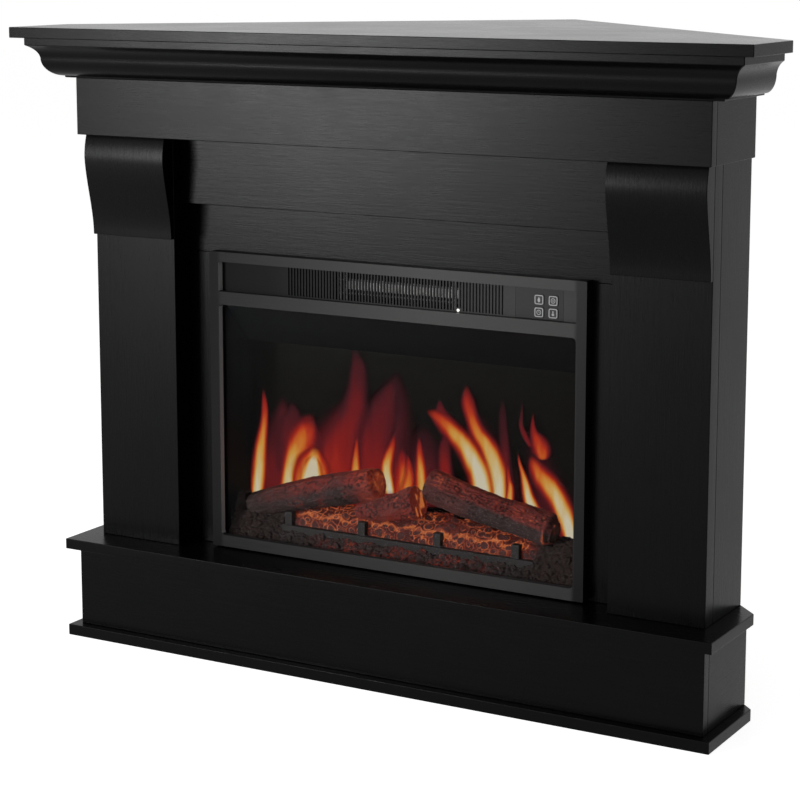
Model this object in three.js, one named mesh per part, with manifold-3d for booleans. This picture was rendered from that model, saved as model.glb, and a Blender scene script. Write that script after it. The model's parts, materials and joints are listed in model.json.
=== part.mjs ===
// Corner electric fireplace: a painted wooden surround that fills a room's corner, and an electric firebox in it.
// Millimetres, +Z up, -Y towards the viewer, +X to the viewer's right. The origin is on the floor, below the
// middle of the whole object's width and depth. The pieces are laid out from the face of the firebox trim (y = 0).
import * as THREE from 'three';
import { mergeVertices } from 'three/addons/utils/BufferGeometryUtils.js';
import Module from 'manifold-3d';

const wasm = await Module();
wasm.setup();

// ---------------------------------------------------------------- driving dimensions: wooden surround
const board = 16;
const footThickness = 16;
const footLip = 14;
const plinthHeight = 113.5;
const plinthSideStep = 14.5;
const plinthFrontStep = 36;
const shelfThickness = 15;
const shelfLip = 15;
const stileShow = 44;
const stileOverlap = 10.5;
const pilasterWidth = 135.5;
const pilasterForward = 21.5;
const pilasterSideDepth = 25.5;
const lowerHeaderShow = 69;
const upperHeaderHeight = 94;
const upperHeaderThickness = 20;
const friezeHeight = 80;
const friezeSideStep = 7;
const friezeFrontStep = 31;
const soffitDepth = 96;
const crownHeight = 56;
const crownSideStep = 12.5;
const crownProjection = 43.5;
const crownFilletHeight = 10.5;
const crownBeadProjection = 4;
const crownBeadHeight = 2.5;
const topThickness = 15;
const topSideLip = 16;
const topFrontLip = 12.5;
const topSideLength = 130.5;
const corbelHeight = 143.5;
const corbelBulge = 25.4;
const corbelTopDepth = 20;
const corbelFootDepth = 7.3;
const rearPostWidth = 120;
const rearPostInset = 76;
const plinthRibDepth = 260;

// ---------------------------------------------------------------- driving dimensions: firebox
const windowHalf = 276.5;
const windowHeight = 333;
const windowCorner = 6;
const bandHeight = 42;
const bandCorner = 2;
const frameSide = 15;
const frameBottomRail = 16.5;
const frameMullion = 18.5;
const frameTopRail = 14;
const frameFloorGap = 2;
const frameTopOverlap = 3.5;
const frameDepth = 17;
const frameFace = 3;
const frameWall = 2.5;
const openingLip = 2;
const bandRecess = 10;
const windowRecess = 9;
const glassThickness = 3;
const glassMargin = 5;
const panelThickness = 3;
const panelMargin = 6;
const sheet = 1.2;
const fitGap = 0.3;
const casingGap = 2;
const casingDepth = 152;
const ceilingFront = 20;
const ceilingLip = 10;
const ceilingDrop = 60;
const ceilingBelowBand = 10;
const screenDistance = 80;
const screenThickness = 3;
const grilleToFascia = 16.5;
const slotPitch = 4.8;
const slotWidth = 2.6;
const slotMargin = 1.6;
const grooveDepth = 1.8;
const openSlotsStart = -93;
const openSlotsEnd = 107;
const fasciaInset = 22.5;
const fasciaWidth = 69.5;
const buttonSize = 13.8;
const buttonGapSide = 6.6;
const buttonGapUp = 2.8;
const buttonFromEdge = 7.8;
const buttonDrop = 3.5;
const buttonProud = 1;
const buttonTravel = 0.8;
const buttonStem = 2;
const boardThickness = 1.6;
const switchHeight = 3;
const lampRadius = 1.8;
const lampRise = 2.3;
const grateBarHeight = 11;
const grateBarDepth = 9;
const grateBarRise = 18;
const grateFront = 33;
const grateOverrunLeft = 9.5;
const grateOverrunRight = 28.5;
const gratePostShift = 6.5;
const gratePostWidth = 12;
const gratePostInset = 3;
const gratePostDepth = 10;
const gratePostRise = 19;
const gratePostSpacing = 120;
const bedSkin = 5;
const bedFrontDrop = 8;
const bedSlopeRise = 48;
const bedHeapRise = 15;
const bedHeapReach = 130;
const bedEndRise = 28;
const bedEndFrom = 87;
const bedEndTo = 27;
const bedLump = 3.2;
const bedLumpPitch = 33;
const barkBow = 3;
const leftLogInset = 15.5;
const rightLogInset = 48.5;
const coilRadius = 7;
const wireRadius = 1.1;
const coilTurns = 20;
const coilEndRoom = 12;
const blowerRadius = 21;
const blowerBlades = 16;
const bladeDepth = 6;
const blowerAxis = 104;
const shaftRadius = 3;
const blowerLength = 160;
const motorLength = 30;
const motorRadius = 19;
const ductDepth = 42;
const rodAxisBehindScreen = 22;
const rodAxisHeight = 34;
const rodRadius = 2.5;
const rodBladeReach = 12;
const rodBladeLength = 22;
const rodBladePitch = 32;
const rodEndRoom = 32;
const rodMotorLength = 22;
const reflectorDistance = 128;
const reflectorHeight = 230;
const glandRadius = 8;
const glandInset = 45;
const ventWidth = 4;
const ventPitch = 14;
const ventMargin = 4;
const lowerVentBottom = 40;
const lowerVentHeight = 30;
const bracketLeg = 30;
const bracketHeight = 40;

// ---------------------------------------------------------------- levels and planes worked out from them
const shelfTop = footThickness + plinthHeight + shelfThickness;
const frameBottom = shelfTop + frameFloorGap;
const windowBottom = frameBottom + frameBottomRail;
const windowTop = windowBottom + windowHeight;
const bandBottom = windowTop + frameMullion;
const bandTop = bandBottom + bandHeight;
const frameTop = bandTop + frameTopRail;
const headerBottom = frameTop - frameTopOverlap;
const upperHeaderBottom = headerBottom + lowerHeaderShow;
const friezeBottom = upperHeaderBottom + upperHeaderHeight;
const friezeTop = friezeBottom + friezeHeight;
const crownTop = friezeTop + crownHeight;
const overallHeight = crownTop + topThickness;

const frameHalf = windowHalf + frameSide;
const openingHalf = frameHalf - stileOverlap;
const pilasterInner = frameHalf + stileShow;
const pilasterOuter = pilasterInner + pilasterWidth;
const friezeHalf = pilasterOuter + friezeSideStep;
const crownHalf = friezeHalf + crownSideStep;
const topHalf = crownHalf + crownProjection + topSideLip;
const plinthHalf = pilasterOuter + plinthSideStep;

const friezeFront = -(pilasterForward + friezeFrontStep);
const topFront = friezeFront - crownProjection - topFrontLip;
const plinthFront = -(pilasterForward + plinthFrontStep);
const cornerReach = topHalf + topFront + topSideLength;
const overallDepth = cornerReach - topFront;
const surroundBack = frameDepth + board;

// ---------------------------------------------------------------- materials
const paint = new THREE.MeshStandardMaterial({ color: 0x17171a, roughness: 0.42, metalness: 0 });
const rawBoard = new THREE.MeshStandardMaterial({ color: 0x8a6a48, roughness: 0.8, metalness: 0 });
const trimMetal = new THREE.MeshStandardMaterial({ color: 0x2b2a2b, roughness: 0.45, metalness: 0.6 });
const blackSheet = new THREE.MeshStandardMaterial({ color: 0x111214, roughness: 0.6, metalness: 0.4 });
const blackPlastic = new THREE.MeshStandardMaterial({ color: 0x1d1d1f, roughness: 0.4, metalness: 0 });
const clearGlass = new THREE.MeshStandardMaterial({
  color: 0xdfe6e6, roughness: 0.05, transparent: true, opacity: 0.2,
});
const smokedScreen = new THREE.MeshStandardMaterial({ color: 0x191912, roughness: 0.25, metalness: 0 });
const char = new THREE.MeshStandardMaterial({ color: 0x3a1c16, roughness: 0.9, metalness: 0 });
const ember = new THREE.MeshStandardMaterial({ color: 0x5a1d0a, roughness: 0.8, metalness: 0 });
const steel = new THREE.MeshStandardMaterial({ color: 0x9a9c9e, roughness: 0.35, metalness: 0.9 });
const heaterWire = new THREE.MeshStandardMaterial({ color: 0xa8a49c, roughness: 0.4, metalness: 0.8 });
const circuit = new THREE.MeshStandardMaterial({ color: 0x1d5a35, roughness: 0.5, metalness: 0 });
const lampLens = new THREE.MeshStandardMaterial({ color: 0xf4f4f0, roughness: 0.2, metalness: 0 });

// ---------------------------------------------------------------- shape helpers
function box(x0, x1, y0, y1, z0, z1) {
  const geometry = new THREE.BoxGeometry(x1 - x0, y1 - y0, z1 - z0);
  return geometry.translate((x0 + x1) / 2, (y0 + y1) / 2, (z0 + z1) / 2);
}

function outline(points) {
  return new THREE.Shape(points.map(([u, v]) => new THREE.Vector2(u, v)));
}

function extrude(shape, depth) {
  return new THREE.ExtrudeGeometry(shape, { depth, bevelEnabled: false, curveSegments: 4 });
}

// a plan outline (x, y) raised from z0 to z1
function extrudeUp(points, z0, z1) {
  return extrude(outline(points), z1 - z0).translate(0, 0, z0);
}

// a side outline (y, z) run along X from x0 to x1
function extrudeAcross(points, x0, x1) {
  const turn = new THREE.Matrix4().makeBasis(
    new THREE.Vector3(0, 1, 0), new THREE.Vector3(0, 0, 1), new THREE.Vector3(1, 0, 0));
  return extrude(outline(points), x1 - x0).applyMatrix4(turn).translate(x0, 0, 0);
}

// a front outline (x, z) run back from y0 to y1
function extrudeBack(shape, y0, y1) {
  const turn = new THREE.Matrix4().makeBasis(
    new THREE.Vector3(1, 0, 0), new THREE.Vector3(0, 0, 1), new THREE.Vector3(0, -1, 0));
  return extrude(shape, y1 - y0).applyMatrix4(turn).translate(0, y1, 0);
}

function rodAcross(radius, x0, x1, y, z, sides) {
  return new THREE.CylinderGeometry(radius, radius, x1 - x0, sides)
    .rotateZ(Math.PI / 2).translate((x0 + x1) / 2, y, z);
}

function roundedRectangle(target, x0, x1, z0, z1, radius) {
  target.moveTo(x0 + radius, z0);
  target.lineTo(x1 - radius, z0);
  target.absarc(x1 - radius, z0 + radius, radius, -Math.PI / 2, 0, false);
  target.lineTo(x1, z1 - radius);
  target.absarc(x1 - radius, z1 - radius, radius, 0, Math.PI / 2, false);
  target.lineTo(x0 + radius, z1);
  target.absarc(x0 + radius, z1 - radius, radius, Math.PI / 2, Math.PI, false);
  target.lineTo(x0, z0 + radius);
  target.absarc(x0 + radius, z0 + radius, radius, Math.PI, 1.5 * Math.PI, false);
  return target;
}

function roundedBlock(x0, x1, y0, y1, z0, z1, radius) {
  return extrudeBack(roundedRectangle(new THREE.Shape(), x0, x1, z0, z1, radius), y0, y1);
}

// sheet metal of one thickness along a folded line, as a closed outline
function foldedSheet(line, thickness) {
  const left = [];
  const right = [];
  line.forEach((point, i) => {
    const before = line[Math.max(i - 1, 0)];
    const after = line[Math.min(i + 1, line.length - 1)];
    const along = (a, b) => new THREE.Vector2(b[0] - a[0], b[1] - a[1]).normalize();
    const first = i > 0 ? along(before, point) : along(point, after);
    const second = i < line.length - 1 ? along(point, after) : first;
    const normal = new THREE.Vector2(-first.y - second.y, first.x + second.x).normalize();
    const reach = thickness / 2 / Math.max(0.3, normal.dot(new THREE.Vector2(-first.y, first.x)));
    left.push([point[0] + normal.x * reach, point[1] + normal.y * reach]);
    right.unshift([point[0] - normal.x * reach, point[1] - normal.y * reach]);
  });
  return [...right, ...left];
}

// a profile swept between two ends, each of which may be cut at any slant
function prism(profile, startOf, endOf) {
  const count = profile.length;
  const positions = [...profile.map(startOf), ...profile.map(endOf)].flat();
  const caps = THREE.ShapeUtils.triangulateShape(profile.map(([u, v]) => new THREE.Vector2(u, v)), []);
  const index = [];
  for (const [a, b, c] of caps) {
    index.push(a, b, c, count + a, count + c, count + b);
  }
  for (let i = 0; i < count; i += 1) {
    const next = (i + 1) % count;
    index.push(i, count + i, count + next, i, count + next, next);
  }
  const geometry = new THREE.BufferGeometry();
  geometry.setAttribute('position', new THREE.Float32BufferAttribute(positions, 3));
  geometry.setIndex(index);
  return geometry;
}

function solid(geometry) {
  const bare = geometry.clone();
  bare.deleteAttribute('normal');
  bare.deleteAttribute('uv');
  const merged = mergeVertices(bare, 1e-4);
  return new wasm.Manifold(new wasm.Mesh({
    numProp: 3,
    vertProperties: new Float32Array(merged.attributes.position.array),
    triVerts: new Uint32Array(merged.index.array),
  }));
}

function geometryOf(manifold) {
  const mesh = manifold.getMesh();
  const geometry = new THREE.BufferGeometry();
  geometry.setAttribute('position', new THREE.Float32BufferAttribute(mesh.vertProperties, 3));
  geometry.setIndex([...mesh.triVerts]);
  return geometry;
}

function join(...geometries) {
  return geometryOf(geometries.map(solid).reduce((whole, piece) => whole.add(piece)));
}

function cut(geometry, ...tools) {
  return geometryOf(tools.map(solid).reduce((rest, tool) => rest.subtract(tool), solid(geometry)));
}

const assembly = new THREE.Group();
assembly.position.set(0, -(cornerReach + topFront) / 2, 0);

function add(name, geometry, material) {
  const plain = geometry.index ? geometry.toNonIndexed() : geometry;
  plain.computeVertexNormals();
  const mesh = new THREE.Mesh(plain, material);
  mesh.name = name;
  assembly.add(mesh);
}

// adds a piece for each side of the object: shape(side) gets -1 for left and 1 for right
function addPair(name, shape, material) {
  add(`${name}_left`, shape(-1), material);
  add(`${name}_right`, shape(1), material);
}

const sideBox = (side, inner, outer, ...rest) =>
  box(Math.min(side * inner, side * outer), Math.max(side * inner, side * outer), ...rest);

// ---------------------------------------------------------------- wooden surround
// the plan of a corner plate: straight front, two short square sides, two edges along the walls
function cornerPlan(half, front) {
  const sideBack = cornerReach - half;
  return [[-half, front], [half, front], [half, sideBack], [0, cornerReach], [-half, sideBack]];
}

// a board along one side of the object, whose back end is cut to lie against the wall
function sideBoard(side, inner, outer, front, z0, z1) {
  const plan = [[inner, front], [outer, front], [outer, cornerReach - outer], [inner, cornerReach - inner]];
  const placed = plan.map(([x, y]) => [side * x, y]);
  return extrudeUp(side > 0 ? placed : placed.reverse(), z0, z1);
}

function buildPlinth() {
  const plinthTop = footThickness + plinthHeight;
  add('foot_plate', extrudeUp(cornerPlan(plinthHalf + footLip, plinthFront - footLip), 0, footThickness), paint);
  add('plinth_front',
    box(-plinthHalf, plinthHalf, plinthFront, plinthFront + board, footThickness, plinthTop), paint);
  addPair('plinth', (side) =>
    sideBoard(side, plinthHalf - board, plinthHalf, plinthFront + board, footThickness, plinthTop), paint);
  const ribFront = plinthFront + board;
  add('plinth_rib', box(-board / 2, board / 2, ribFront, ribFront + plinthRibDepth, footThickness, plinthTop),
    rawBoard);
  const plan = cornerPlan(plinthHalf + shelfLip, plinthFront - shelfLip);
  add('hearth_shelf', extrudeUp(plan, plinthTop, shelfTop), paint);
  const postBack = cornerReach - rearPostInset;
  const postHalf = rearPostWidth / 2;
  add('plinth_rear_post', box(-postHalf, postHalf, postBack - board, postBack, footThickness, plinthTop),
    rawBoard);
  add('rear_post', box(-postHalf, postHalf, postBack - board, postBack, shelfTop, crownTop - board), rawBoard);
}

function buildPilasters() {
  const face = -pilasterForward;
  const sideJoint = face + pilasterSideDepth;
  const channel = [
    [pilasterInner, face], [pilasterOuter, face], [pilasterOuter, sideJoint], [pilasterOuter - board, sideJoint],
    [pilasterOuter - board, face + board], [pilasterInner + board, face + board],
    [pilasterInner + board, surroundBack], [pilasterInner, surroundBack],
  ];
  addPair('pilaster', (side) => {
    const plan = channel.map(([x, y]) => [side * x, y]);
    return extrudeUp(side > 0 ? plan : plan.reverse(), shelfTop, friezeBottom);
  }, paint);
  addPair('side_panel', (side) =>
    sideBoard(side, pilasterOuter - board, pilasterOuter, sideJoint, shelfTop, friezeBottom), paint);
}

// the corbel's side outline: a full round at the top that runs down in a long S to a thin foot
function corbelDepth(share) {
  const bulgeAt = 0.77;
  if (share > bulgeAt) {
    const up = (share - bulgeAt) / (1 - bulgeAt);
    return corbelBulge - (corbelBulge - corbelTopDepth) * up * up;
  }
  const rise = share / bulgeAt;
  const sCurve = rise * rise * (3 - 2 * rise);
  return corbelFootDepth + (corbelBulge - corbelFootDepth) * (0.72 * sCurve + 0.28 * rise ** 1.6);
}

function buildCorbels() {
  const steps = 18;
  const face = -pilasterForward;
  const foot = friezeBottom - corbelHeight;
  const profile = [[face, friezeBottom], [face, foot]];
  for (let i = 0; i <= steps; i += 1) {
    profile.push([face - corbelDepth(i / steps), foot + (corbelHeight * i) / steps]);
  }
  profile.reverse();
  addPair('corbel', (side) => extrudeAcross(profile, side > 0 ? pilasterInner : -pilasterOuter,
    side > 0 ? pilasterOuter : -pilasterInner), paint);
}

function buildHeaders() {
  addPair('stile', (side) =>
    sideBox(side, openingHalf, pilasterInner, frameDepth, surroundBack, shelfTop, headerBottom), paint);
  add('header_lower',
    box(-pilasterInner, pilasterInner, frameDepth, surroundBack, headerBottom, friezeBottom), paint);
  add('header_upper',
    box(-pilasterInner, pilasterInner, frameDepth - upperHeaderThickness, frameDepth, upperHeaderBottom,
      friezeBottom), paint);
}

function buildFrieze() {
  const inside = friezeFront + board;
  add('frieze_front', box(-friezeHalf, friezeHalf, friezeFront, inside, friezeBottom, friezeTop), paint);
  addPair('frieze', (side) =>
    sideBoard(side, friezeHalf - board, friezeHalf, inside, friezeBottom, friezeTop), paint);
  add('frieze_soffit',
    box(board - friezeHalf, friezeHalf - board, inside, inside + soffitDepth, friezeBottom, friezeBottom + board),
    paint);
}

// the crown's section: distance out from its own base plane, and height
function crownProfile() {
  const curve = new THREE.Path();
  const filletBottom = crownTop - crownFilletHeight;
  const waist = friezeTop + crownHeight / 2;
  const waistOut = crownProjection * 0.645;
  const beadTop = friezeTop + crownBeadHeight;
  curve.moveTo(crownBeadProjection, beadTop);
  curve.absellipse(crownBeadProjection, waist, waistOut - crownBeadProjection, waist - beadTop,
    -Math.PI / 2, 0, false, 0);
  curve.quadraticCurveTo(crownProjection * 0.69, waist + (filletBottom - waist) * 0.63,
    crownProjection, filletBottom);
  const bend = curve.getPoints(8).map(({ x, y }) => [x, y]);
  return [[-board, friezeTop], [crownBeadProjection, friezeTop], ...bend,
    [crownProjection, crownTop], [-board, crownTop]];
}

function buildCrown() {
  const profile = crownProfile();
  const mitreGap = fitGap / 2;
  add('crown_front', prism(profile,
    ([out, z]) => [-(crownHalf + out - mitreGap), friezeFront - out, z],
    ([out, z]) => [crownHalf + out - mitreGap, friezeFront - out, z]), paint);
  const front = ([out, z], side) => [side * (crownHalf + out), friezeFront - out + mitreGap, z];
  const back = ([out, z], side) => [side * (crownHalf + out), cornerReach - crownHalf - out, z];
  add('crown_left', prism(profile, (p) => back(p, -1), (p) => front(p, -1)), paint);
  add('crown_right', prism(profile, (p) => front(p, 1), (p) => back(p, 1)), paint);
  add('sub_top',
    extrudeUp(cornerPlan(crownHalf - board, friezeFront + board), crownTop - board, crownTop), rawBoard);
  add('mantel_top', extrudeUp(cornerPlan(topHalf, topFront), crownTop, overallHeight), paint);
}

// ---------------------------------------------------------------- firebox: front
function buildTrimFrame() {
  const openings = (margin) => [
    [-windowHalf - margin, windowHalf + margin, windowBottom - margin, windowTop + margin, windowCorner],
    [-windowHalf - margin, windowHalf + margin, bandBottom - margin, bandTop + margin, bandCorner],
  ];
  const face = new THREE.Shape();
  roundedRectangle(face, -frameHalf, frameHalf, frameBottom, frameTop, 2);
  const whole = solid(extrudeBack(face, 0, frameDepth));
  const hollow = box(frameWall - frameHalf, frameHalf - frameWall, frameFace, frameDepth + 1,
    frameBottom + frameWall, frameTop - frameWall);
  const [windowLip, bandLip] = openings(openingLip);
  const [windowHole, bandHole] = openings(0);
  const block = ([x0, x1, z0, z1, radius], y0, y1) => roundedBlock(x0, x1, y0, y1, z0, z1, radius);
  const shell = whole.subtract(solid(hollow))
    .add(solid(block(windowLip, frameFace / 2, windowRecess)))
    .add(solid(block(bandLip, frameFace / 2, bandRecess)))
    .subtract(solid(block(windowHole, -1, frameDepth)))
    .subtract(solid(block(bandHole, -1, frameDepth)));
  add('trim_frame', geometryOf(shell), trimMetal);
  const glassHalf = windowHalf + glassMargin;
  add('front_glass', box(-glassHalf, glassHalf, windowRecess, windowRecess + glassThickness,
    windowBottom - glassMargin, windowTop + glassMargin), clearGlass);
}

const panelBack = bandRecess + panelThickness;
const fasciaEnd = windowHalf - fasciaInset;
const fasciaStart = fasciaEnd - fasciaWidth;
const grilleHalf = fasciaStart - grilleToFascia;
const lampAcross = openSlotsEnd - 1.5 * slotPitch;
const lampHeight = bandBottom + lampRise;

function buildBandPanel() {
  const half = windowHalf + panelMargin;
  const tools = [];
  const slotCount = Math.floor((2 * grilleHalf) / slotPitch);
  for (let i = 0; i < slotCount; i += 1) {
    const x = (i - (slotCount - 1) / 2) * slotPitch;
    const open = x > openSlotsStart && x < openSlotsEnd;
    const depth = open ? panelThickness + 1 : grooveDepth;
    const beside = Math.abs(x - lampAcross) < slotPitch;
    const bottom = beside ? lampHeight + lampRadius + slotMargin : bandBottom + slotMargin;
    tools.push(box(x - slotWidth / 2, x + slotWidth / 2, bandRecess - 1, bandRecess + depth,
      bottom, bandTop - slotMargin));
  }
  tools.push(box(fasciaStart, fasciaEnd, bandRecess - 1, panelBack + 1, bandBottom, bandTop));
  tools.push(new THREE.CylinderGeometry(lampRadius + fitGap, lampRadius + fitGap, 4 * panelThickness, 10)
    .translate(lampAcross, bandRecess, lampHeight));
  const plate = box(-half, half, bandRecess, panelBack, bandBottom - panelMargin, bandTop + panelMargin);
  add('band_panel', cut(plate, ...tools), blackPlastic);
  add('indicator_lamp', new THREE.CylinderGeometry(lampRadius, lampRadius, panelThickness + 2, 10)
    .translate(lampAcross, bandRecess + panelThickness / 2, lampHeight), lampLens);
}

// the four button centres on the control fascia, from left to right and from the top down
const buttonRight = fasciaEnd - buttonFromEdge - buttonSize / 2;
const buttonLeft = buttonRight - buttonSize - buttonGapSide;
const bandMiddle = (bandBottom + bandTop) / 2;
const buttonUp = bandMiddle - buttonDrop + (buttonSize + buttonGapUp) / 2;
const buttonDown = buttonUp - buttonSize - buttonGapUp;
const buttons = {
  button_power: [buttonLeft, buttonUp],
  button_flame: [buttonRight, buttonUp],
  button_heat: [buttonLeft, buttonDown],
  button_timer: [buttonRight, buttonDown],
};

function buildControls() {
  const tab = 5;
  const tabBack = panelBack + sheet;
  const holes = Object.values(buttons).map(([x, z]) => roundedBlock(
    x - buttonSize / 2 - fitGap, x + buttonSize / 2 + fitGap, bandRecess - 1, tabBack + 1,
    z - buttonSize / 2 - fitGap, z + buttonSize / 2 + fitGap, 2));
  const face = box(fasciaStart + fitGap, fasciaEnd - fitGap, bandRecess, tabBack,
    bandBottom + fitGap, bandTop - fitGap);
  const tabs = [[fasciaStart - tab, fasciaStart + 1], [fasciaEnd - 1, fasciaEnd + tab]].map(([x0, x1]) =>
    box(x0, x1, panelBack, tabBack, bandBottom + tab, bandTop - tab));
  add('control_fascia', cut(join(face, ...tabs), ...holes), blackPlastic);

  const flangeFront = tabBack + fitGap;
  const flangeBack = flangeFront + sheet;
  const flange = (buttonSize + buttonGapUp - 1) / 2;
  const stemBack = flangeBack + 2;
  for (const [name, [x, z]] of Object.entries(buttons)) {
    const half = buttonSize / 2;
    const cap = roundedBlock(x - half, x + half, bandRecess - buttonProud, flangeBack, z - half, z + half, 2);
    const collar = box(x - flange, x + flange, flangeFront, flangeBack, z - flange, z + flange);
    const stem = box(x - buttonStem, x + buttonStem, flangeFront, stemBack, z - buttonStem, z + buttonStem);
    add(name, join(cap, collar, stem), blackPlastic);
  }

  const switchFront = stemBack + buttonTravel + fitGap;
  const boardFront = switchFront + switchHeight;
  const switches = Object.values(buttons).map(([x, z]) =>
    box(x - 3, x + 3, switchFront, boardFront + 0.5, z - 3, z + 3));
  const spacers = [fasciaStart - tab / 2, fasciaEnd + tab / 2].map((x) =>
    box(x - 2, x + 2, tabBack, boardFront + 0.5, bandMiddle - 3, bandMiddle + 3));
  const plate = box(fasciaStart - tab, fasciaEnd + tab, boardFront, boardFront + boardThickness,
    bandBottom, bandTop);
  add('control_board', join(plate, ...switches, ...spacers), circuit);
}

// ---------------------------------------------------------------- firebox: casing and chamber
const casingHalf = openingHalf - casingGap;
const casingFront = frameDepth;
const casingBack = casingFront + casingDepth;
const casingTop = headerBottom - casingGap;
const casingFloor = shelfTop + sheet;
const chamberHalf = casingHalf - sheet - fitGap;
const ceilingTop = bandBottom - ceilingBelowBand;

function buildCasing() {
  const wrap = [
    [-casingHalf, casingFloor], [sheet - casingHalf, casingFloor], [sheet - casingHalf, casingTop - sheet],
    [casingHalf - sheet, casingTop - sheet], [casingHalf - sheet, casingFloor], [casingHalf, casingFloor],
    [casingHalf, casingTop], [-casingHalf, casingTop],
  ];
  add('casing_wrap', extrudeBack(outline(wrap), casingFront, casingBack), blackSheet);
  add('casing_floor', box(-casingHalf, casingHalf, casingFront, casingBack, shelfTop, casingFloor), blackSheet);

  const ventRow = (count, z0, z1) => Array.from({ length: count }, (_, i) => {
    const x = (i - (count - 1) / 2) * ventPitch;
    return box(x - ventWidth / 2, x + ventWidth / 2, casingBack - 1, casingBack + sheet + 1, z0, z1);
  });
  const glandAcross = casingHalf - glandInset;
  const glandUp = shelfTop + glandInset;
  const inlet = new THREE.CylinderGeometry(glandRadius, glandRadius, 4 * sheet, 16)
    .translate(glandAcross, casingBack, glandUp);
  const plate = box(-casingHalf, casingHalf, casingBack, casingBack + sheet, shelfTop, casingTop);
  const lowerVent = shelfTop + lowerVentBottom;
  add('casing_back', cut(plate, ...ventRow(13, bandBottom + ventMargin, bandTop - ventMargin),
    ...ventRow(9, lowerVent, lowerVent + lowerVentHeight), inlet), blackSheet);

  const collar = glandRadius - fitGap;
  const bore = glandRadius / 2;
  const outside = casingBack + sheet;
  const gland = [[bore, -6], [collar, -6], [collar, 0], [glandRadius + 4, 0], [glandRadius + 4, 3],
    [collar, 5], [collar - 1, 14], [bore, 14], [bore, -6]];
  add('cord_gland', new THREE.LatheGeometry(gland.map(([r, y]) => new THREE.Vector2(r, y)), 16)
    .translate(glandAcross, outside, glandUp), blackPlastic);
}

function buildChamber() {
  const slopeBack = screenDistance - fitGap - sheet;
  const ceiling = [
    [casingBack - fitGap, ceilingTop], [ceilingFront, ceilingTop], [ceilingFront, ceilingTop - ceilingLip],
    [slopeBack, ceilingTop - ceilingLip - ceilingDrop]];
  add('chamber_ceiling', extrudeAcross(foldedSheet(ceiling, sheet), -chamberHalf, chamberHalf), blackSheet);
  add('flame_screen', box(-chamberHalf, chamberHalf, screenDistance, screenDistance + screenThickness,
    casingFloor, ceilingTop - ceilingDrop + 4), smokedScreen);
  addPair('fixing_bracket', (side) => {
    const middle = (windowBottom + windowTop) / 2;
    const plan = [
      [casingHalf, surroundBack], [casingHalf + bracketLeg, surroundBack],
      [casingHalf + bracketLeg, surroundBack + sheet], [casingHalf + sheet, surroundBack + sheet],
      [casingHalf + sheet, surroundBack + bracketLeg], [casingHalf, surroundBack + bracketLeg],
    ].map(([x, y]) => [side * x, y]);
    return extrudeUp(side > 0 ? plan : plan.reverse(), middle - bracketHeight / 2, middle + bracketHeight / 2);
  }, steel);
}

// ---------------------------------------------------------------- firebox: fuel bed
const bedFront = frameDepth + fitGap;
const grateTop = windowBottom + grateBarRise;
const gratePosts = [-1.5, -0.5, 0.5, 1.5].map((i) => i * gratePostSpacing - gratePostShift);
const grateStart = gratePosts[0] - grateOverrunLeft;
const grateEnd = gratePosts[3] + grateOverrunRight;

// the logs' two ends: x, depth y and rise z over the window's bottom edge, and radius r
const logs = {
  log_left: {
    x0: leftLogInset - chamberHalf, y0: 53, z0: 31, r0: 20, x1: -44, y1: 50, z1: 93, r1: 21, phase: 0.4,
  },
  log_center: { x0: -76, y0: 46, z0: 46, r0: 11, x1: 22, y1: 41, z1: 79, r1: 22.5, phase: 2.1 },
  log_right: {
    x0: 34, y0: 54, z0: 99, r0: 20, x1: chamberHalf - rightLogInset, y1: 47, z1: 55, r1: 19, phase: 3.7,
  },
};

// one log: a slightly bent, knobbly, tapering round between two points; grow makes it thicker all round, and
// lift raises its upper half, for the room that a log needs from above
function logShape({ x0, y0, z0, r0, x1, y1, z1, r1, phase }, grow = 0, lift = 0) {
  const rings = 11;
  const sides = 14;
  const start = new THREE.Vector3(x0, y0, windowBottom + z0);
  const end = new THREE.Vector3(x1, y1, windowBottom + z1);
  const axis = new THREE.Vector3().subVectors(end, start);
  const along = axis.clone().normalize();
  const across = new THREE.Vector3(0, 1, 0).addScaledVector(along, -along.y).normalize();
  const up = new THREE.Vector3().crossVectors(along, across);
  const positions = [];
  const index = [];
  for (let i = 0; i < rings; i += 1) {
    const share = i / (rings - 1);
    const centre = start.clone().addScaledVector(axis, share).addScaledVector(along, (2 * share - 1) * grow);
    centre.addScaledVector(up, barkBow * Math.sin(Math.PI * share + phase));
    for (let j = 0; j < sides; j += 1) {
      const angle = (2 * Math.PI * j) / sides;
      const bark = 1 + 0.06 * Math.sin(3 * angle + phase) + 0.05 * Math.sin(5 * angle + 4 * share + phase)
        + 0.04 * Math.sin(9 * share + 2 * angle + phase);
      const radius = (r0 + (r1 - r0) * share) * bark + grow;
      const point = centre.clone()
        .addScaledVector(across, radius * Math.cos(angle)).addScaledVector(up, radius * Math.sin(angle));
      point.z += Math.sin(angle) > 0.01 ? lift : 0;
      positions.push(...point.toArray());
    }
  }
  for (let i = 0; i < rings - 1; i += 1) {
    for (let j = 0; j < sides; j += 1) {
      const a = i * sides + j;
      const b = i * sides + ((j + 1) % sides);
      index.push(a, a + sides, b + sides, a, b + sides, b);
    }
  }
  for (let j = 1; j < sides - 1; j += 1) {
    index.push(0, j, j + 1);
    const last = (rings - 1) * sides;
    index.push(last, last + j + 1, last + j);
  }
  const geometry = new THREE.BufferGeometry();
  geometry.setAttribute('position', new THREE.Float32BufferAttribute(positions, 3));
  geometry.setIndex(index);
  return solid(geometry).volume() > 0 ? geometry : flipped(geometry);
}

function flipped(geometry) {
  const turned = geometry.clone();
  const index = [...geometry.index.array];
  for (let i = 0; i < index.length; i += 3) {
    [index[i + 1], index[i + 2]] = [index[i + 2], index[i + 1]];
  }
  turned.setIndex(index);
  return turned;
}

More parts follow.
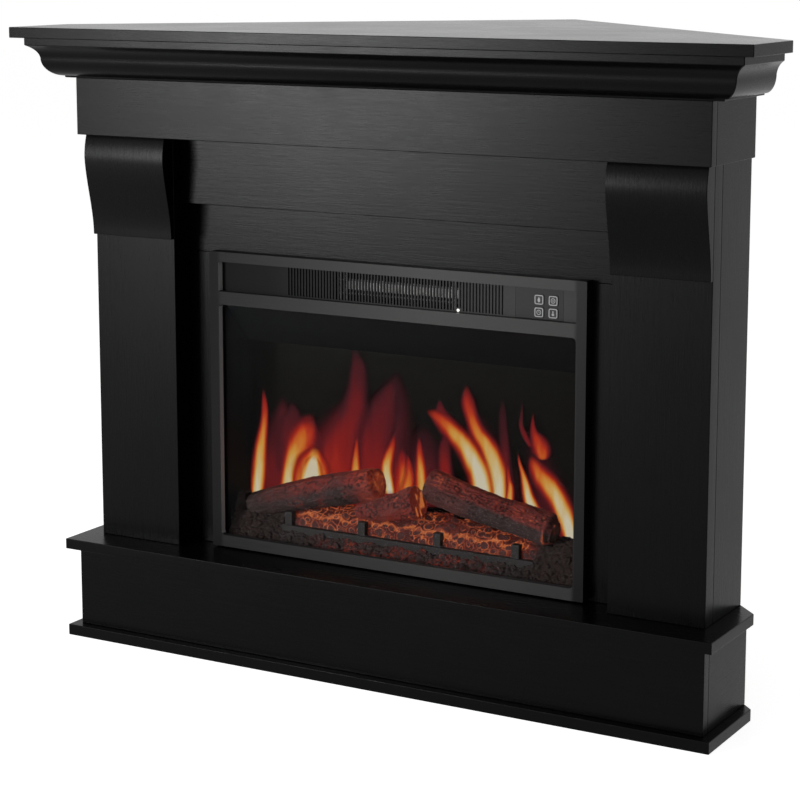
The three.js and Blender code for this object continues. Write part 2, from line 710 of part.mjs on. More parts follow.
const bedFloor = casingFloor;
// the ember bed's height above the window's bottom edge at a point in plan
function bedSurface(x, y) {
  const deep = THREE.MathUtils.clamp((y - bedFront) / (screenDistance - bedFront), 0, 1);
  const slope = bedSlopeRise * THREE.MathUtils.smoothstep(deep, 0, 0.6) - bedFrontDrop;
  const heap = bedHeapRise * Math.exp(-((x / bedHeapReach) ** 2)) * THREE.MathUtils.smoothstep(deep, 0.35, 0.9);
  const nearEnd = THREE.MathUtils.smoothstep(Math.abs(x), chamberHalf - bedEndFrom, chamberHalf - bedEndTo);
  const ends = bedEndRise * nearEnd * THREE.MathUtils.smoothstep(deep, -0.1, 0.35) * (1 - deep);
  const u = (2 * Math.PI * x) / bedLumpPitch;
  const v = (2 * Math.PI * y) / bedLumpPitch;
  const lumps = Math.sin(u + 2 * Math.sin(0.7 * v)) * Math.sin(1.6 * v + 0.2 * u) + 0.55 * Math.sin(2.3 * u + v);
  return slope + heap + ends + bedLump * lumps * THREE.MathUtils.smoothstep(deep, 0, 0.15);
}

function bedShape() {
  const across = 52;
  const deep = 8;
  const half = chamberHalf - fitGap;
  const back = screenDistance - fitGap;
  const positions = [];
  const index = [];
  const at = (i, j, layer) => layer * (across + 1) * (deep + 1) + i * (deep + 1) + j;
  for (const layer of [0, 1]) {
    for (let i = 0; i <= across; i += 1) {
      for (let j = 0; j <= deep; j += 1) {
        const x = -half + (2 * half * i) / across;
        const y = bedFront + ((back - bedFront) * j) / deep;
        const top = Math.max(windowBottom + bedSurface(x, y), bedFloor + bedSkin);
        positions.push(x, y, layer ? top : bedFloor);
      }
    }
  }
  const quad = (a, b, c, d) => index.push(a, b, c, a, c, d);
  for (let i = 0; i < across; i += 1) {
    for (let j = 0; j < deep; j += 1) {
      quad(at(i, j, 1), at(i + 1, j, 1), at(i + 1, j + 1, 1), at(i, j + 1, 1));
      quad(at(i, j, 0), at(i, j + 1, 0), at(i + 1, j + 1, 0), at(i + 1, j, 0));
    }
  }
  for (let i = 0; i < across; i += 1) {
    quad(at(i, 0, 0), at(i + 1, 0, 0), at(i + 1, 0, 1), at(i, 0, 1));
    quad(at(i + 1, deep, 0), at(i, deep, 0), at(i, deep, 1), at(i + 1, deep, 1));
  }
  for (let j = 0; j < deep; j += 1) {
    quad(at(0, j + 1, 0), at(0, j, 0), at(0, j, 1), at(0, j + 1, 1));
    quad(at(across, j, 0), at(across, j + 1, 0), at(across, j + 1, 1), at(across, j, 1));
  }
  const geometry = new THREE.BufferGeometry();
  geometry.setAttribute('position', new THREE.Float32BufferAttribute(positions, 3));
  geometry.setIndex(index);
  return geometry;
}

function grateShape(grow) {
  const bar = box(grateStart - grow, grateEnd + grow, grateFront - grow,
    grateFront + grateBarDepth + grow, grateTop - grateBarHeight - grow, grateTop + grow);
  const postFront = grateFront + gratePostInset;
  const postHalf = gratePostWidth / 2 + grow;
  const posts = gratePosts.map((x) => box(x - postHalf, x + postHalf, postFront - grow,
    postFront + gratePostDepth + grow, bedFloor - (grow ? 1 : 0), grateTop + gratePostRise + grow));
  return join(bar, ...posts);
}

function buildFuelBed() {
  const bare = Object.fromEntries(Object.entries(logs).map(([name, log]) => [name, logShape(log)]));
  const room = Object.fromEntries(Object.entries(logs).map(([name, log]) => [name, logShape(log, fitGap)]));
  const roomAbove = Object.values(logs).map((log) => logShape(log, fitGap, bedSlopeRise));
  const grate = grateShape(0);
  const grateRoom = grateShape(fitGap);
  const screenRoom = box(-casingHalf, casingHalf, screenDistance - fitGap, casingBack, shelfTop, bandTop);
  add('log_left', cut(bare.log_left, grateRoom, screenRoom), char);
  add('log_right', cut(bare.log_right, grateRoom, screenRoom), char);
  add('log_center', cut(bare.log_center, room.log_left, room.log_right, grateRoom), char);
  const roomOverBar = box(grateStart, grateEnd, grateFront - fitGap, grateFront + grateBarDepth + fitGap,
    grateTop, grateTop + gratePostRise);
  add('ember_bed', cut(bedShape(), ...Object.values(room), ...roomAbove, grateRoom, roomOverBar), ember);
  add('grate', grate, blackSheet);
}

// ---------------------------------------------------------------- firebox: heater and blower
const ductStart = openSlotsStart + 6;
const ductEnd = openSlotsEnd - 6;
const ductFront = panelBack + 3;
const ductBack = ductFront + ductDepth;
const ductBottom = ceilingTop + sheet / 2;
const ductTop = casingTop - sheet;
const ductMiddle = (ductBottom + ductTop) / 2;

function buildHeater() {
  const tube = box(ductStart, ductEnd, ductFront, ductBack, ductBottom, ductTop);
  const bore = box(ductStart + sheet, ductEnd - sheet, ductFront - 1, ductBack + 1,
    ductBottom + sheet, ductTop - sheet);
  const guardBar = (z) => box(ductStart, ductEnd, ductFront, ductFront + 2, z - 1, z + 1);
  const guardPost = (x) => box(x - 1, x + 1, ductFront, ductFront + 2, ductBottom, ductTop);
  add('heater_duct', join(cut(tube, bore), guardBar(ductMiddle - 9), guardBar(ductMiddle + 9),
    guardPost(ductStart + 10), guardPost(ductEnd - 10)), steel);

  const coilY = ductFront + ductDepth / 2;
  class Helix extends THREE.Curve {
    getPoint(t, target = new THREE.Vector3()) {
      const angle = 2 * Math.PI * coilTurns * t;
      const length = ductEnd - ductStart - 2 * coilEndRoom;
      return target.set(ductStart + coilEndRoom + length * t, coilY + coilRadius * Math.cos(angle),
        ductMiddle + coilRadius * Math.sin(angle));
    }
  }
  const path = new Helix().getPoints(coilTurns * 24);
  let leastGap = Infinity;
  path.forEach((point, i) => path.slice(i + 12).forEach((other) => {
    leastGap = Math.min(leastGap, point.distanceTo(other) - 2 * wireRadius);
  }));
  console.log(`heating coil: least gap between turns ${leastGap.toFixed(2)} mm`);
  const wire = outline([[-wireRadius, 0], [0, -wireRadius], [wireRadius, 0], [0, wireRadius]]);
  const coil = new THREE.ExtrudeGeometry(wire, {
    steps: coilTurns * 8, extrudePath: new Helix(), bevelEnabled: false });
  const core = box(ductStart + sheet, ductEnd - sheet, coilY - 0.5, coilY + 0.5,
    ductMiddle - coilRadius, ductMiddle + coilRadius);
  add('heating_coil', join(coil, core), heaterWire);
}

const wheelStart = (ductStart + ductEnd - blowerLength) / 2;
const wheelEnd = wheelStart + blowerLength;
const wheelRoom = 4;

function buildBlower() {
  const parts = [];
  for (let i = 0; i < blowerBlades; i += 1) {
    parts.push(box(wheelStart + 0.5, wheelEnd - 0.5, -0.6, 0.6, -bladeDepth / 2, bladeDepth / 2)
      .rotateX(0.5).translate(0, 0, blowerRadius - bladeDepth / 2 - 1)
      .rotateX((2 * Math.PI * i) / blowerBlades).translate(0, blowerAxis, ductMiddle));
  }
  for (const x of [wheelStart, (wheelStart + wheelEnd - 1.5) / 2, wheelEnd - 1.5]) {
    parts.push(rodAcross(blowerRadius, x, x + 1.5, blowerAxis, ductMiddle, 32));
  }
  const plateStart = wheelStart - wheelRoom;
  const plateEnd = wheelEnd + wheelRoom;
  const stub = 12;
  parts.push(rodAcross(shaftRadius, plateStart - sheet - 1, wheelStart + 1, blowerAxis, ductMiddle, 12));
  parts.push(rodAcross(shaftRadius, wheelEnd - 1, plateEnd + sheet + stub, blowerAxis, ductMiddle, 12));
  add('blower_wheel', join(...parts), blackPlastic);

  const reach = blowerRadius + wheelRoom;
  const scroll = [[ductBack + 0.3, ductBottom + sheet / 2], [blowerAxis - 4, ductBottom + sheet / 2]];
  for (let i = 0; i <= 8; i += 1) {
    const angle = -Math.PI / 2 + (0.75 * Math.PI * i) / 8;
    scroll.push([blowerAxis + reach * Math.cos(angle), ductMiddle + reach * Math.sin(angle)]);
  }
  const tongue = [[ductBack + 0.3, ductTop - sheet / 2], [blowerAxis - 14, ductTop - sheet / 2],
    [blowerAxis - 11, ductMiddle + reach - 1]];
  const endPlate = (x) => cut(
    box(x, x + sheet, ductBack + 0.3, blowerAxis + reach, ductBottom, ductTop),
    rodAcross(shaftRadius + 1, x - 1, x + sheet + 1, blowerAxis, ductMiddle, 16));
  add('blower_housing', join(
    extrudeAcross(foldedSheet(scroll, sheet), plateStart - sheet, plateEnd + sheet),
    extrudeAcross(foldedSheet(tongue, sheet), plateStart - sheet, plateEnd + sheet),
    endPlate(plateStart - sheet), endPlate(plateEnd)), steel);

  const motorStart = plateEnd + sheet;
  const body = join(
    rodAcross(motorRadius, motorStart, motorStart + motorLength, blowerAxis, ductMiddle, 24),
    box(motorStart, motorStart + motorLength, blowerAxis - 6, blowerAxis + 6, ductBottom,
      ductMiddle - motorRadius + 4));
  const bore = rodAcross(shaftRadius + fitGap, motorStart - 1, motorStart + stub + 1, blowerAxis, ductMiddle, 12);
  add('blower_motor', cut(body, bore), steel);
}

// ---------------------------------------------------------------- firebox: flame effect behind the screen
const rodY = screenDistance + screenThickness + rodAxisBehindScreen;
const rodZ = casingFloor + rodAxisHeight;
const rodHalf = chamberHalf - rodEndRoom;

function buildFlameEffect() {
  const blades = [rodAcross(rodRadius, -rodHalf - 8, rodHalf + 8, rodY, rodZ, 10)];
  const bladeCount = Math.floor((2 * rodHalf - 16) / rodBladePitch);
  for (let i = 0; i < bladeCount; i += 1) {
    const x = (i - (bladeCount - 1) / 2) * rodBladePitch;
    blades.push(box(-rodBladeLength / 2, rodBladeLength / 2, -0.4, 0.4, -rodBladeReach, rodBladeReach)
      .rotateX(i * 0.96).translate(x, rodY, rodZ));
  }
  add('flicker_rod', join(...blades), steel);

  const motor = join(
    rodAcross(motorRadius - 2, rodHalf, rodHalf + rodMotorLength, rodY, rodZ, 24),
    box(rodHalf, rodHalf + rodMotorLength, rodY - 8, rodY + 8, casingFloor, rodZ - motorRadius + 6));
  add('flicker_motor',
    cut(motor, rodAcross(rodRadius + fitGap, rodHalf - 1, rodHalf + 9, rodY, rodZ, 10)), steel);
  const upright = box(-rodHalf - 4, -rodHalf - 2, rodY - 8, rodY + 8, casingFloor, rodZ + 8);
  const foot = box(-rodHalf - 18, -rodHalf - 2, rodY - 8, rodY + 8, casingFloor, casingFloor + 2);
  add('flicker_bearing', cut(join(upright, foot),
    rodAcross(rodRadius + fitGap, -rodHalf - 5, -rodHalf - 1, rodY, rodZ, 10)), steel);

  const flames = 9;
  const flameWidth = (2 * rodHalf) / flames;
  const sheetBottom = casingFloor;
  const profile = [[rodHalf, sheetBottom], [-rodHalf, sheetBottom]].reverse();
  for (let i = 0; i < flames; i += 1) {
    const right = rodHalf - i * flameWidth;
    const tip = reflectorHeight * (0.72 + 0.28 * Math.sin(2.4 * i + 1) ** 2);
    profile.push(
      [right, sheetBottom + 0.36 * reflectorHeight],
      [right - 0.16 * flameWidth, sheetBottom + 0.62 * tip],
      [right - 0.52 * flameWidth, sheetBottom + tip],
      [right - 0.6 * flameWidth, sheetBottom + 0.6 * tip],
      [right - 0.86 * flameWidth, sheetBottom + 0.34 * reflectorHeight]);
  }
  profile.push([-rodHalf, sheetBottom + 0.36 * reflectorHeight]);
  add('flame_reflector', extrudeBack(outline(profile), reflectorDistance, reflectorDistance + sheet), steel);
  add('light_board', box(-rodHalf + 6, rodHalf - 6, screenDistance + screenThickness + 3,
    screenDistance + screenThickness + 17, casingFloor, casingFloor + boardThickness), circuit);
}

buildPlinth();
buildPilasters();
buildCorbels();
buildHeaders();
buildFrieze();
buildCrown();
buildTrimFrame();
buildBandPanel();
buildControls();
buildCasing();
buildChamber();
buildFuelBed();
buildHeater();
buildBlower();
buildFlameEffect();

console.log(`overall ${2 * topHalf} x ${overallDepth} x ${overallHeight} mm`);

export default assembly;
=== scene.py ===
"""The looks of the corner electric fireplace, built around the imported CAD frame.

Metres, +Z up, -Y towards the viewer. The origin is on the floor under the middle of the object.
"""
import itertools
import json
import math

import bmesh
import bpy
import numpy as np
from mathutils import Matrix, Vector

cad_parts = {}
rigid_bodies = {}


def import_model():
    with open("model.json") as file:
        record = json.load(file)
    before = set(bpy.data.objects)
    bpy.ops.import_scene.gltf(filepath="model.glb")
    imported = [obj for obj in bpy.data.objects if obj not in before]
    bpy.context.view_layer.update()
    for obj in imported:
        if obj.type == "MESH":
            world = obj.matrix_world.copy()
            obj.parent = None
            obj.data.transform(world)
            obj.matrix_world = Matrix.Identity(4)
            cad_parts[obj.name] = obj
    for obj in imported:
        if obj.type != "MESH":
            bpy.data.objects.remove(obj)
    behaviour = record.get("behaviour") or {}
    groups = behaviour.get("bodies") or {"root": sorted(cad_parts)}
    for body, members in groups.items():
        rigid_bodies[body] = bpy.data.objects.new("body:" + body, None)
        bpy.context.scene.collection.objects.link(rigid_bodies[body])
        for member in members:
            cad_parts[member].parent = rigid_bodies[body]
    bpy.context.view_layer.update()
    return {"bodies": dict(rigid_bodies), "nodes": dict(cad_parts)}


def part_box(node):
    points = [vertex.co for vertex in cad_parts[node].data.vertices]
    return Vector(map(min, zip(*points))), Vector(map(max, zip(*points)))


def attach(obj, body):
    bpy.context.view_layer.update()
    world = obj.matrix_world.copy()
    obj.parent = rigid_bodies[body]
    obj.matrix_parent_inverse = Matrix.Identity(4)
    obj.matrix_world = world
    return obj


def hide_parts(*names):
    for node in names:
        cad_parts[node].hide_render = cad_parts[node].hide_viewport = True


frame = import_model()
nodes = frame["nodes"]
scene = bpy.context.scene
ROOT = "fireplace"

# ---------------------------------------------------------------- places taken from the frame
trim_low, trim_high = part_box("trim_frame")
screen_low, screen_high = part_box("flame_screen")
FRAME_BOTTOM_RAIL = 0.0165
FRAME_SIDE = 0.015
TRIM_FACE = trim_low.y
WINDOW_BOTTOM = trim_low.z + FRAME_BOTTOM_RAIL
WINDOW_HALF = trim_high.x - FRAME_SIDE


# ---------------------------------------------------------------- node helpers
def put(tree, kind, inputs=None, **settings):
    """Adds a shader node. An input may be a value or another node's output."""
    made = tree.nodes.new(kind)
    for key, value in settings.items():
        setattr(made, key, value)
    for key, value in (inputs or {}).items():
        if isinstance(value, bpy.types.NodeSocket):
            tree.links.new(value, made.inputs[key])
        else:
            made.inputs[key].default_value = value
    return made


def new_material(name, **values):
    """A Principled material with these plain values, its node tree and its shader."""
    made = bpy.data.materials.new(name)
    made.use_nodes = True
    tree = made.node_tree
    shader = tree.nodes["Principled BSDF"]
    for key, value in values.items():
        shader.inputs[key.replace("_", " ")].default_value = value
    return made, tree, shader


def maths(tree, operation, first, second=0.0):
    return put(tree, "ShaderNodeMath", {0: first, 1: second}, operation=operation).outputs[0]


def coordinate(tree, axis, kind="Object"):
    """One part, X, Y or Z, of the place on the object or of the direction in which its surface faces."""
    where = put(tree, "ShaderNodeTexCoord").outputs[kind]
    return put(tree, "ShaderNodeSeparateXYZ", {"Vector": where}).outputs[axis]


def noise_map(tree, scale, detail=3.0, rough=0.55, distortion=0.0, stretch=(1, 1, 1)):
    """Noise over the object. A larger stretch along an axis makes it finer that way."""
    where = put(tree, "ShaderNodeTexCoord").outputs["Object"]
    vector = put(tree, "ShaderNodeMapping", {"Vector": where, "Scale": stretch}).outputs["Vector"]
    return put(tree, "ShaderNodeTexNoise", {
        "Vector": vector, "Scale": scale, "Detail": detail, "Roughness": rough, "Distortion": distortion,
    }).outputs["Fac"]


def spread(tree, value, low, high, to_low=0.0, to_high=1.0):
    return put(tree, "ShaderNodeMapRange", {
        "Value": value, "From Min": low, "From Max": high, "To Min": to_low, "To Max": to_high,
    }).outputs["Result"]


def vary(tree, noise, to_low=0.0, to_high=1.0):
    """Spreads the range in which the noise mostly lies, 0.3 to 0.7, over the range asked for."""
    return spread(tree, noise, 0.3, 0.7, to_low, to_high)


def blend_colours(tree, share, first, second):
    mix = put(tree, "ShaderNodeMix", data_type="RGBA")
    for index, value in ((0, share), (6, first), (7, second)):
        if isinstance(value, bpy.types.NodeSocket):
            tree.links.new(value, mix.inputs[index])
        else:
            mix.inputs[index].default_value = value if index == 0 else (*value, 1.0)
    return mix.outputs[2]


def ramp(tree, value, stops):
    made = put(tree, "ShaderNodeValToRGB", {"Fac": value})
    elements = made.color_ramp.elements
    while len(elements) < len(stops):
        elements.new(0.5)
    for element, (place, colour) in zip(elements, stops):
        element.position = place
        element.color = (*colour, 1.0)
    return made.outputs["Color"]


def bump(tree, shader, height, distance, strength=1.0):
    made = put(tree, "ShaderNodeBump", {"Height": height, "Distance": distance, "Strength": strength})
    tree.links.new(made.outputs["Normal"], shader.inputs["Normal"])


def reading(tree, name):
    return put(tree, "ShaderNodeAttribute", attribute_name=name).outputs["Fac"]


# ---------------------------------------------------------------- materials
def lacquer(grain, specular=0.055, name="painted_wood_"):
    """Black satin paint over a board whose grain runs along one axis: x, y or z."""
    made, tree, shader = new_material(name + grain, Roughness=0.28, Specular_IOR_Level=specular)
    along = [1.0 if axis == grain else 26.0 for axis in "xyz"]
    fibre = noise_map(tree, 9.0, 5.0, 0.62, 0.25, along)
    pore = noise_map(tree, 16.0, 3.0, 0.6, 0.1, [a * 2.4 for a in along])
    cloud = noise_map(tree, 7.0, 2.0)
    tone = blend_colours(tree, vary(tree, fibre), (0.0005, 0.0005, 0.0006), (0.0011, 0.0011, 0.0012))
    tree.links.new(tone, shader.inputs["Base Color"])
    gloss = maths(tree, "ADD", vary(tree, cloud, 0.255, 0.30), vary(tree, pore, -0.02, 0.03))
    tree.links.new(gloss, shader.inputs["Roughness"])
    bump(tree, shader, maths(tree, "ADD", fibre, pore), 0.00016, 0.5)
    return made


def raw_wood():
    made, tree, shader = new_material("raw_board", Roughness=0.8)
    flakes = noise_map(tree, 260.0, 4.0, 0.7)
    tone = blend_colours(tree, vary(tree, flakes), (0.24, 0.14, 0.075), (0.36, 0.23, 0.13))
    tree.links.new(tone, shader.inputs["Base Color"])
    bump(tree, shader, flakes, 0.0003, 0.5)
    return made


def grained_metal(name, dark, light, roughness, metallic, specular=0.5):
    """Coated or bare sheet metal with a fine speckle."""
    made, tree, shader = new_material(name, Roughness=roughness, Metallic=metallic,
                                      Specular_IOR_Level=specular)
    speck = noise_map(tree, 900.0, 2.0, 0.6)
    cloud = noise_map(tree, 30.0, 3.0)
    tree.links.new(blend_colours(tree, vary(tree, speck), dark, light), shader.inputs["Base Color"])
    tree.links.new(vary(tree, cloud, roughness - 0.05, roughness + 0.05), shader.inputs["Roughness"])
    bump(tree, shader, speck, 0.00005, 0.4)
    return made


def screen_glass():
    """Smoked glass, a little redder towards its foot."""
    made, tree, shader = new_material("smoked_screen", Roughness=0.3, Specular_IOR_Level=0.012)
    cloud = noise_map(tree, 8.0, 2.0)
    lift = spread(tree, coordinate(tree, "Z"), screen_low.z, screen_high.z)
    tone = blend_colours(tree, lift, (0.0028, 0.0014, 0.0011), (0.0017, 0.0018, 0.0010))
    tone = blend_colours(tree, vary(tree, cloud, 0.0, 0.35), tone, (0.0030, 0.0022, 0.0014))
    tree.links.new(tone, shader.inputs["Base Color"])
    return made


def clear_pane():
    made, tree, shader = new_material("clear_glass", Base_Color=(0.02, 0.02, 0.02, 1), Roughness=0.03,
                                      Specular_IOR_Level=0.6, Alpha=0.02)
    smear = noise_map(tree, 6.0, 2.0)
    tree.links.new(vary(tree, smear, 0.02, 0.06), shader.inputs["Roughness"])
    return made


# the colour of the fire from its coolest, at 0, to its hottest, at 1
FIRE_STOPS = (
    (0.0, (0.012, 0.005, 0.006)),
    (0.16, (0.033, 0.0065, 0.009)),
    (0.30, (0.072, 0.0080, 0.0115)),
    (0.42, (0.135, 0.0090, 0.0105)),
    (0.54, (0.225, 0.0120, 0.0095)),
    (0.64, (0.370, 0.030, 0.0095)),
    (0.73, (0.470, 0.115, 0.016)),
    (0.82, (0.510, 0.250, 0.045)),
    (0.91, (0.520, 0.370, 0.150)),
    (1.0, (0.520, 0.470, 0.350)),
)


def flame_light():
    """Soft light on the screen: colour by heat, and see-through towards its edges."""
    made, tree, shader = new_material("flame_light", Base_Color=(0, 0, 0, 1), Roughness=1.0,
                                      Specular_IOR_Level=0.0, Emission_Strength=1.0)
    wisps = noise_map(tree, 95.0, 2.0, 0.5, 0.4, (1, 1, 0.16))
    heat = maths(tree, "ADD", reading(tree, "warmth"), vary(tree, wisps, -0.05, 0.05))
    tree.links.new(ramp(tree, heat, FIRE_STOPS), shader.inputs["Emission Color"])
    tree.links.new(reading(tree, "show"), shader.inputs["Alpha"])
    return made


# the colour of the light inside logs and embers, from none, at 0, to the brightest, at 1
GLOW_STOPS = (
    (0.0, (0.0, 0.0, 0.0)),
    (0.25, (0.026, 0.0026, 0.0016)),
    (0.5, (0.080, 0.008, 0.004)),
    (0.75, (0.180, 0.029, 0.008)),
    (1.0, (0.400, 0.110, 0.026)),
)


def burnt(name, dark, light, red, scale):
    """Fired ceramic painted as bark or coal, lit from inside where the mesh says that it glows."""
    made, tree, shader = new_material(name, Roughness=0.75, Specular_IOR_Level=0.12, Emission_Strength=1.0)
    grit = noise_map(tree, scale, 5.0, 0.65)
    base = blend_colours(tree, vary(tree, grit), dark, light)
    base = blend_colours(tree, reading(tree, "red"), base, red)
    base = blend_colours(tree, reading(tree, "crack"), base, (0.012, 0.006, 0.005))
    tree.links.new(base, shader.inputs["Base Color"])
    tree.links.new(ramp(tree, reading(tree, "glow"), GLOW_STOPS), shader.inputs["Emission Color"])
    bump(tree, shader, grit, 0.0006, 0.7)
    return made


def wire_with_painted_glow():
    # painted glow: the coil gives off grey light of its own colour, which stands in for light falling on it
    made, tree, shader = new_material("heater_wire", Roughness=0.6, Metallic=0.2, Emission_Strength=0.42)
    tarnish = noise_map(tree, 120.0, 3.0)
    tone = blend_colours(tree, vary(tree, tarnish), (0.24, 0.235, 0.23), (0.52, 0.51, 0.50))
    tree.links.new(tone, shader.inputs["Base Color"])
    tree.links.new(tone, shader.inputs["Emission Color"])
    return made


def speckled_plastic(name, dark, light, roughness, specular=0.25):
    made, tree, shader = new_material(name, Roughness=roughness, Specular_IOR_Level=specular)
    speck = noise_map(tree, 1500.0, 2.0)
    tree.links.new(blend_colours(tree, vary(tree, speck), dark, light), shader.inputs["Base Color"])
    bump(tree, shader, speck, 0.00003, 0.5)
    return made


def trim_coat():
    """Brushed, satin coated steel. Painted shade makes the upright rails darkest and darkens the level ones
    towards the left, and a painted sheen lightens the level ones towards the right.
    """
    made, tree, shader = new_material("trim_metal", Roughness=0.4, Specular_IOR_Level=0.09)
    across = coordinate(tree, "X")
    upright = spread(tree, maths(tree, "ABSOLUTE", across), WINDOW_HALF - 0.004, WINDOW_HALF + 0.002)
    brushed = noise_map(tree, 24.0, 3.0, 0.6, stretch=(1, 60, 60))
    # painted sheen and shade: the level rails are painted lighter towards the right and darker towards the
    # left
    level = blend_colours(tree, spread(tree, across, -0.30, 0.08), (0.006, 0.0058, 0.006),
                          (0.031, 0.0298, 0.0295))
    level = blend_colours(tree, vary(tree, brushed, 0.0, 0.35), level, (0.036, 0.035, 0.035))
    # painted shade: the upright rails are painted darkest
    tone = blend_colours(tree, upright, level, (0.0030, 0.0029, 0.0030))
    # painted highlight on the faces that face right, on the left of the window and of the band
    faces_right = spread(tree, coordinate(tree, "X", "Normal"), 0.7, 0.9)
    left_side = spread(tree, across, -0.20, -0.19, 1.0, 0.0)
    right_face_highlight = maths(tree, "MULTIPLY", faces_right, left_side)
    tone = blend_colours(tree, right_face_highlight, tone, (0.34, 0.333, 0.333))
    tree.links.new(tone, shader.inputs["Base Color"])
    dullness = spread(tree, across, -0.29, 0.06, 0.66, 0.37)
    dullness = maths(tree, "ADD", vary(tree, brushed, -0.03, 0.03), dullness)
    tree.links.new(dullness, shader.inputs["Roughness"])
    bump(tree, shader, brushed, 0.00006, 0.5)
    return made


def band_plastic():
    """Moulded black plastic, glossier towards the right, with a painted sheen that makes it lighter towards
    the right.
    """
    made, tree, shader = new_material("black_plastic", Roughness=0.4, Specular_IOR_Level=0.045)
    speck = noise_map(tree, 1500.0, 2.0)
    across = coordinate(tree, "X")
    # painted sheen: the colour is painted lighter from the left to the right
    tone = blend_colours(tree, spread(tree, across, -0.2, 0.2), (0.0022, 0.0022, 0.0024),
                         (0.046, 0.0446, 0.0452))
    tone = blend_colours(tree, vary(tree, speck, 0.0, 0.3), tone, (0.012, 0.0116, 0.012))
    tree.links.new(tone, shader.inputs["Base Color"])
    tree.links.new(spread(tree, across, -0.28, 0.0, 0.62, 0.40), shader.inputs["Roughness"])
    bump(tree, shader, speck, 0.00003, 0.5)
    return made


MATERIALS = {
    "paint_x": lacquer("x"),
    "paint_y": lacquer("y"),
    "paint_z": lacquer("z"),
    "paint_top": lacquer("x", 0.24, "painted_top_"),
    "raw_board": raw_wood(),
    "trim_metal": trim_coat(),
    "black_sheet": grained_metal("black_sheet", (0.0009, 0.0008, 0.0013), (0.0016, 0.0015, 0.0021),
                                 0.5, 0.0, 0.03),
    "iron": grained_metal("grate_iron", (0.011, 0.0098, 0.0093), (0.019, 0.0165, 0.0158), 0.55, 0.0, 0.12),
    "zinc": grained_metal("zinc_steel", (0.40, 0.41, 0.42), (0.55, 0.56, 0.57), 0.4, 0.9),
    "dull_zinc": grained_metal("dull_zinc", (0.09, 0.091, 0.092), (0.14, 0.141, 0.143), 0.6, 0.3, 0.3),
    "plastic": band_plastic(),
    "fascia": speckled_plastic("fascia_plastic", (0.0145, 0.0142, 0.0145), (0.019, 0.0185, 0.019),
                               0.42, 0.09),
    "button": speckled_plastic("button_plastic", (0.012, 0.0116, 0.012), (0.016, 0.0155, 0.016),
                               0.38, 0.15),
    "icon": speckled_plastic("icon_print", (0.27, 0.27, 0.27), (0.34, 0.34, 0.34), 0.5),
    "screen": screen_glass(),
    "pane": clear_pane(),
    "flame": flame_light(),
    "log": burnt("log_ceramic", (0.014, 0.0088, 0.0082), (0.062, 0.044, 0.042), (0.125, 0.019, 0.015),
                 420.0),
    "coal": burnt("ember_resin", (0.009, 0.0078, 0.0076), (0.037, 0.0325, 0.0315), (0.090, 0.013, 0.008),
                  520.0),
    "wire": wire_with_painted_glow(),
    "circuit": speckled_plastic("circuit_board", (0.010, 0.060, 0.025), (0.015, 0.085, 0.035), 0.45),
    "lamp": new_material("lamp_lens", Base_Color=(0.9, 0.9, 0.86, 1), Roughness=0.2,
                         Emission_Color=(1.0, 0.97, 0.88, 1), Emission_Strength=0.9)[0],
}


# ---------------------------------------------------------------- mesh helpers
def mesh_piece(name, points, faces, material, body=ROOT, attributes=None, smooth=True):
    """A new piece of these points and faces that rides on a body. Attributes give a number per point."""
    mesh = bpy.data.meshes.new(name)
    mesh.from_pydata([tuple(p) for p in points], [], faces)
    mesh.validate()
    if smooth:
        mesh.polygons.foreach_set("use_smooth", [True] * len(mesh.polygons))
    for key, values in (attributes or {}).items():
        layer = mesh.attributes.new(key, "FLOAT", "POINT")
        layer.data.foreach_set("value", np.asarray(values, np.float32))
    piece = bpy.data.objects.new(name, mesh)
    scene.collection.objects.link(piece)
    mesh.materials.append(MATERIALS[material])
    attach(piece, body)
    return piece


def body_of(node):
    """The name of the body on which a CAD node rides."""
    return next(body for body, empty in frame["bodies"].items() if nodes[node].parent is empty)


def welded_copy(node, name):
    """A new object with the CAD node's surface, its loose triangles joined into whole flat faces."""
    mesh = nodes[node].data.copy()
    mesh.name = name
    sheet = bmesh.new()
    sheet.from_mesh(mesh)
    bmesh.ops.remove_doubles(sheet, verts=sheet.verts, dist=2e-6)
    bmesh.ops.dissolve_limit(sheet, angle_limit=math.radians(0.4), verts=sheet.verts, edges=sheet.edges)
    for face in sheet.faces:
        face.smooth = True
    sheet.to_mesh(mesh)
    sheet.free()
    mesh.materials.clear()
    piece = bpy.data.objects.new(name, mesh)
    scene.collection.objects.link(piece)
    return piece


def dressed(node, material, width, segments=2, angle=28):
    """Stands for a CAD node: the same piece with softened edges and its own finish."""
    piece = welded_copy(node, node + "_dressed")
    piece.data.materials.append(MATERIALS[material])
    soften = piece.modifiers.new("soft_edges", "BEVEL")
    soften.width = width
    soften.segments = segments
    soften.limit_method = "ANGLE"
    soften.angle_limit = math.radians(angle)
    soften.use_clamp_overlap = True
    piece.modifiers.new("even_normals", "WEIGHTED_NORMAL")
    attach(piece, body_of(node))
    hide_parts(node)


# ---------------------------------------------------------------- repeatable noise on points
def hashed(cells, seed):
    """A repeatable number from 0 to 1 for each whole-number cell. The large numbers only mix its bits."""
    n = cells.astype(np.int64)
    mixed = (n[..., 0] * 73856093) ^ (n[..., 1] * 19349663) ^ (n[..., 2] * 83492791) ^ (seed * 40503 + 977)
    mixed &= 0xFFFFFFFF
    mixed = ((mixed ^ (mixed >> 15)) * 2246822519) & 0xFFFFFFFF
    mixed = ((mixed ^ (mixed >> 13)) * 3266489917) & 0xFFFFFFFF
    mixed ^= mixed >> 16
    return (mixed & 0xFFFFFF) / float(0xFFFFFF)


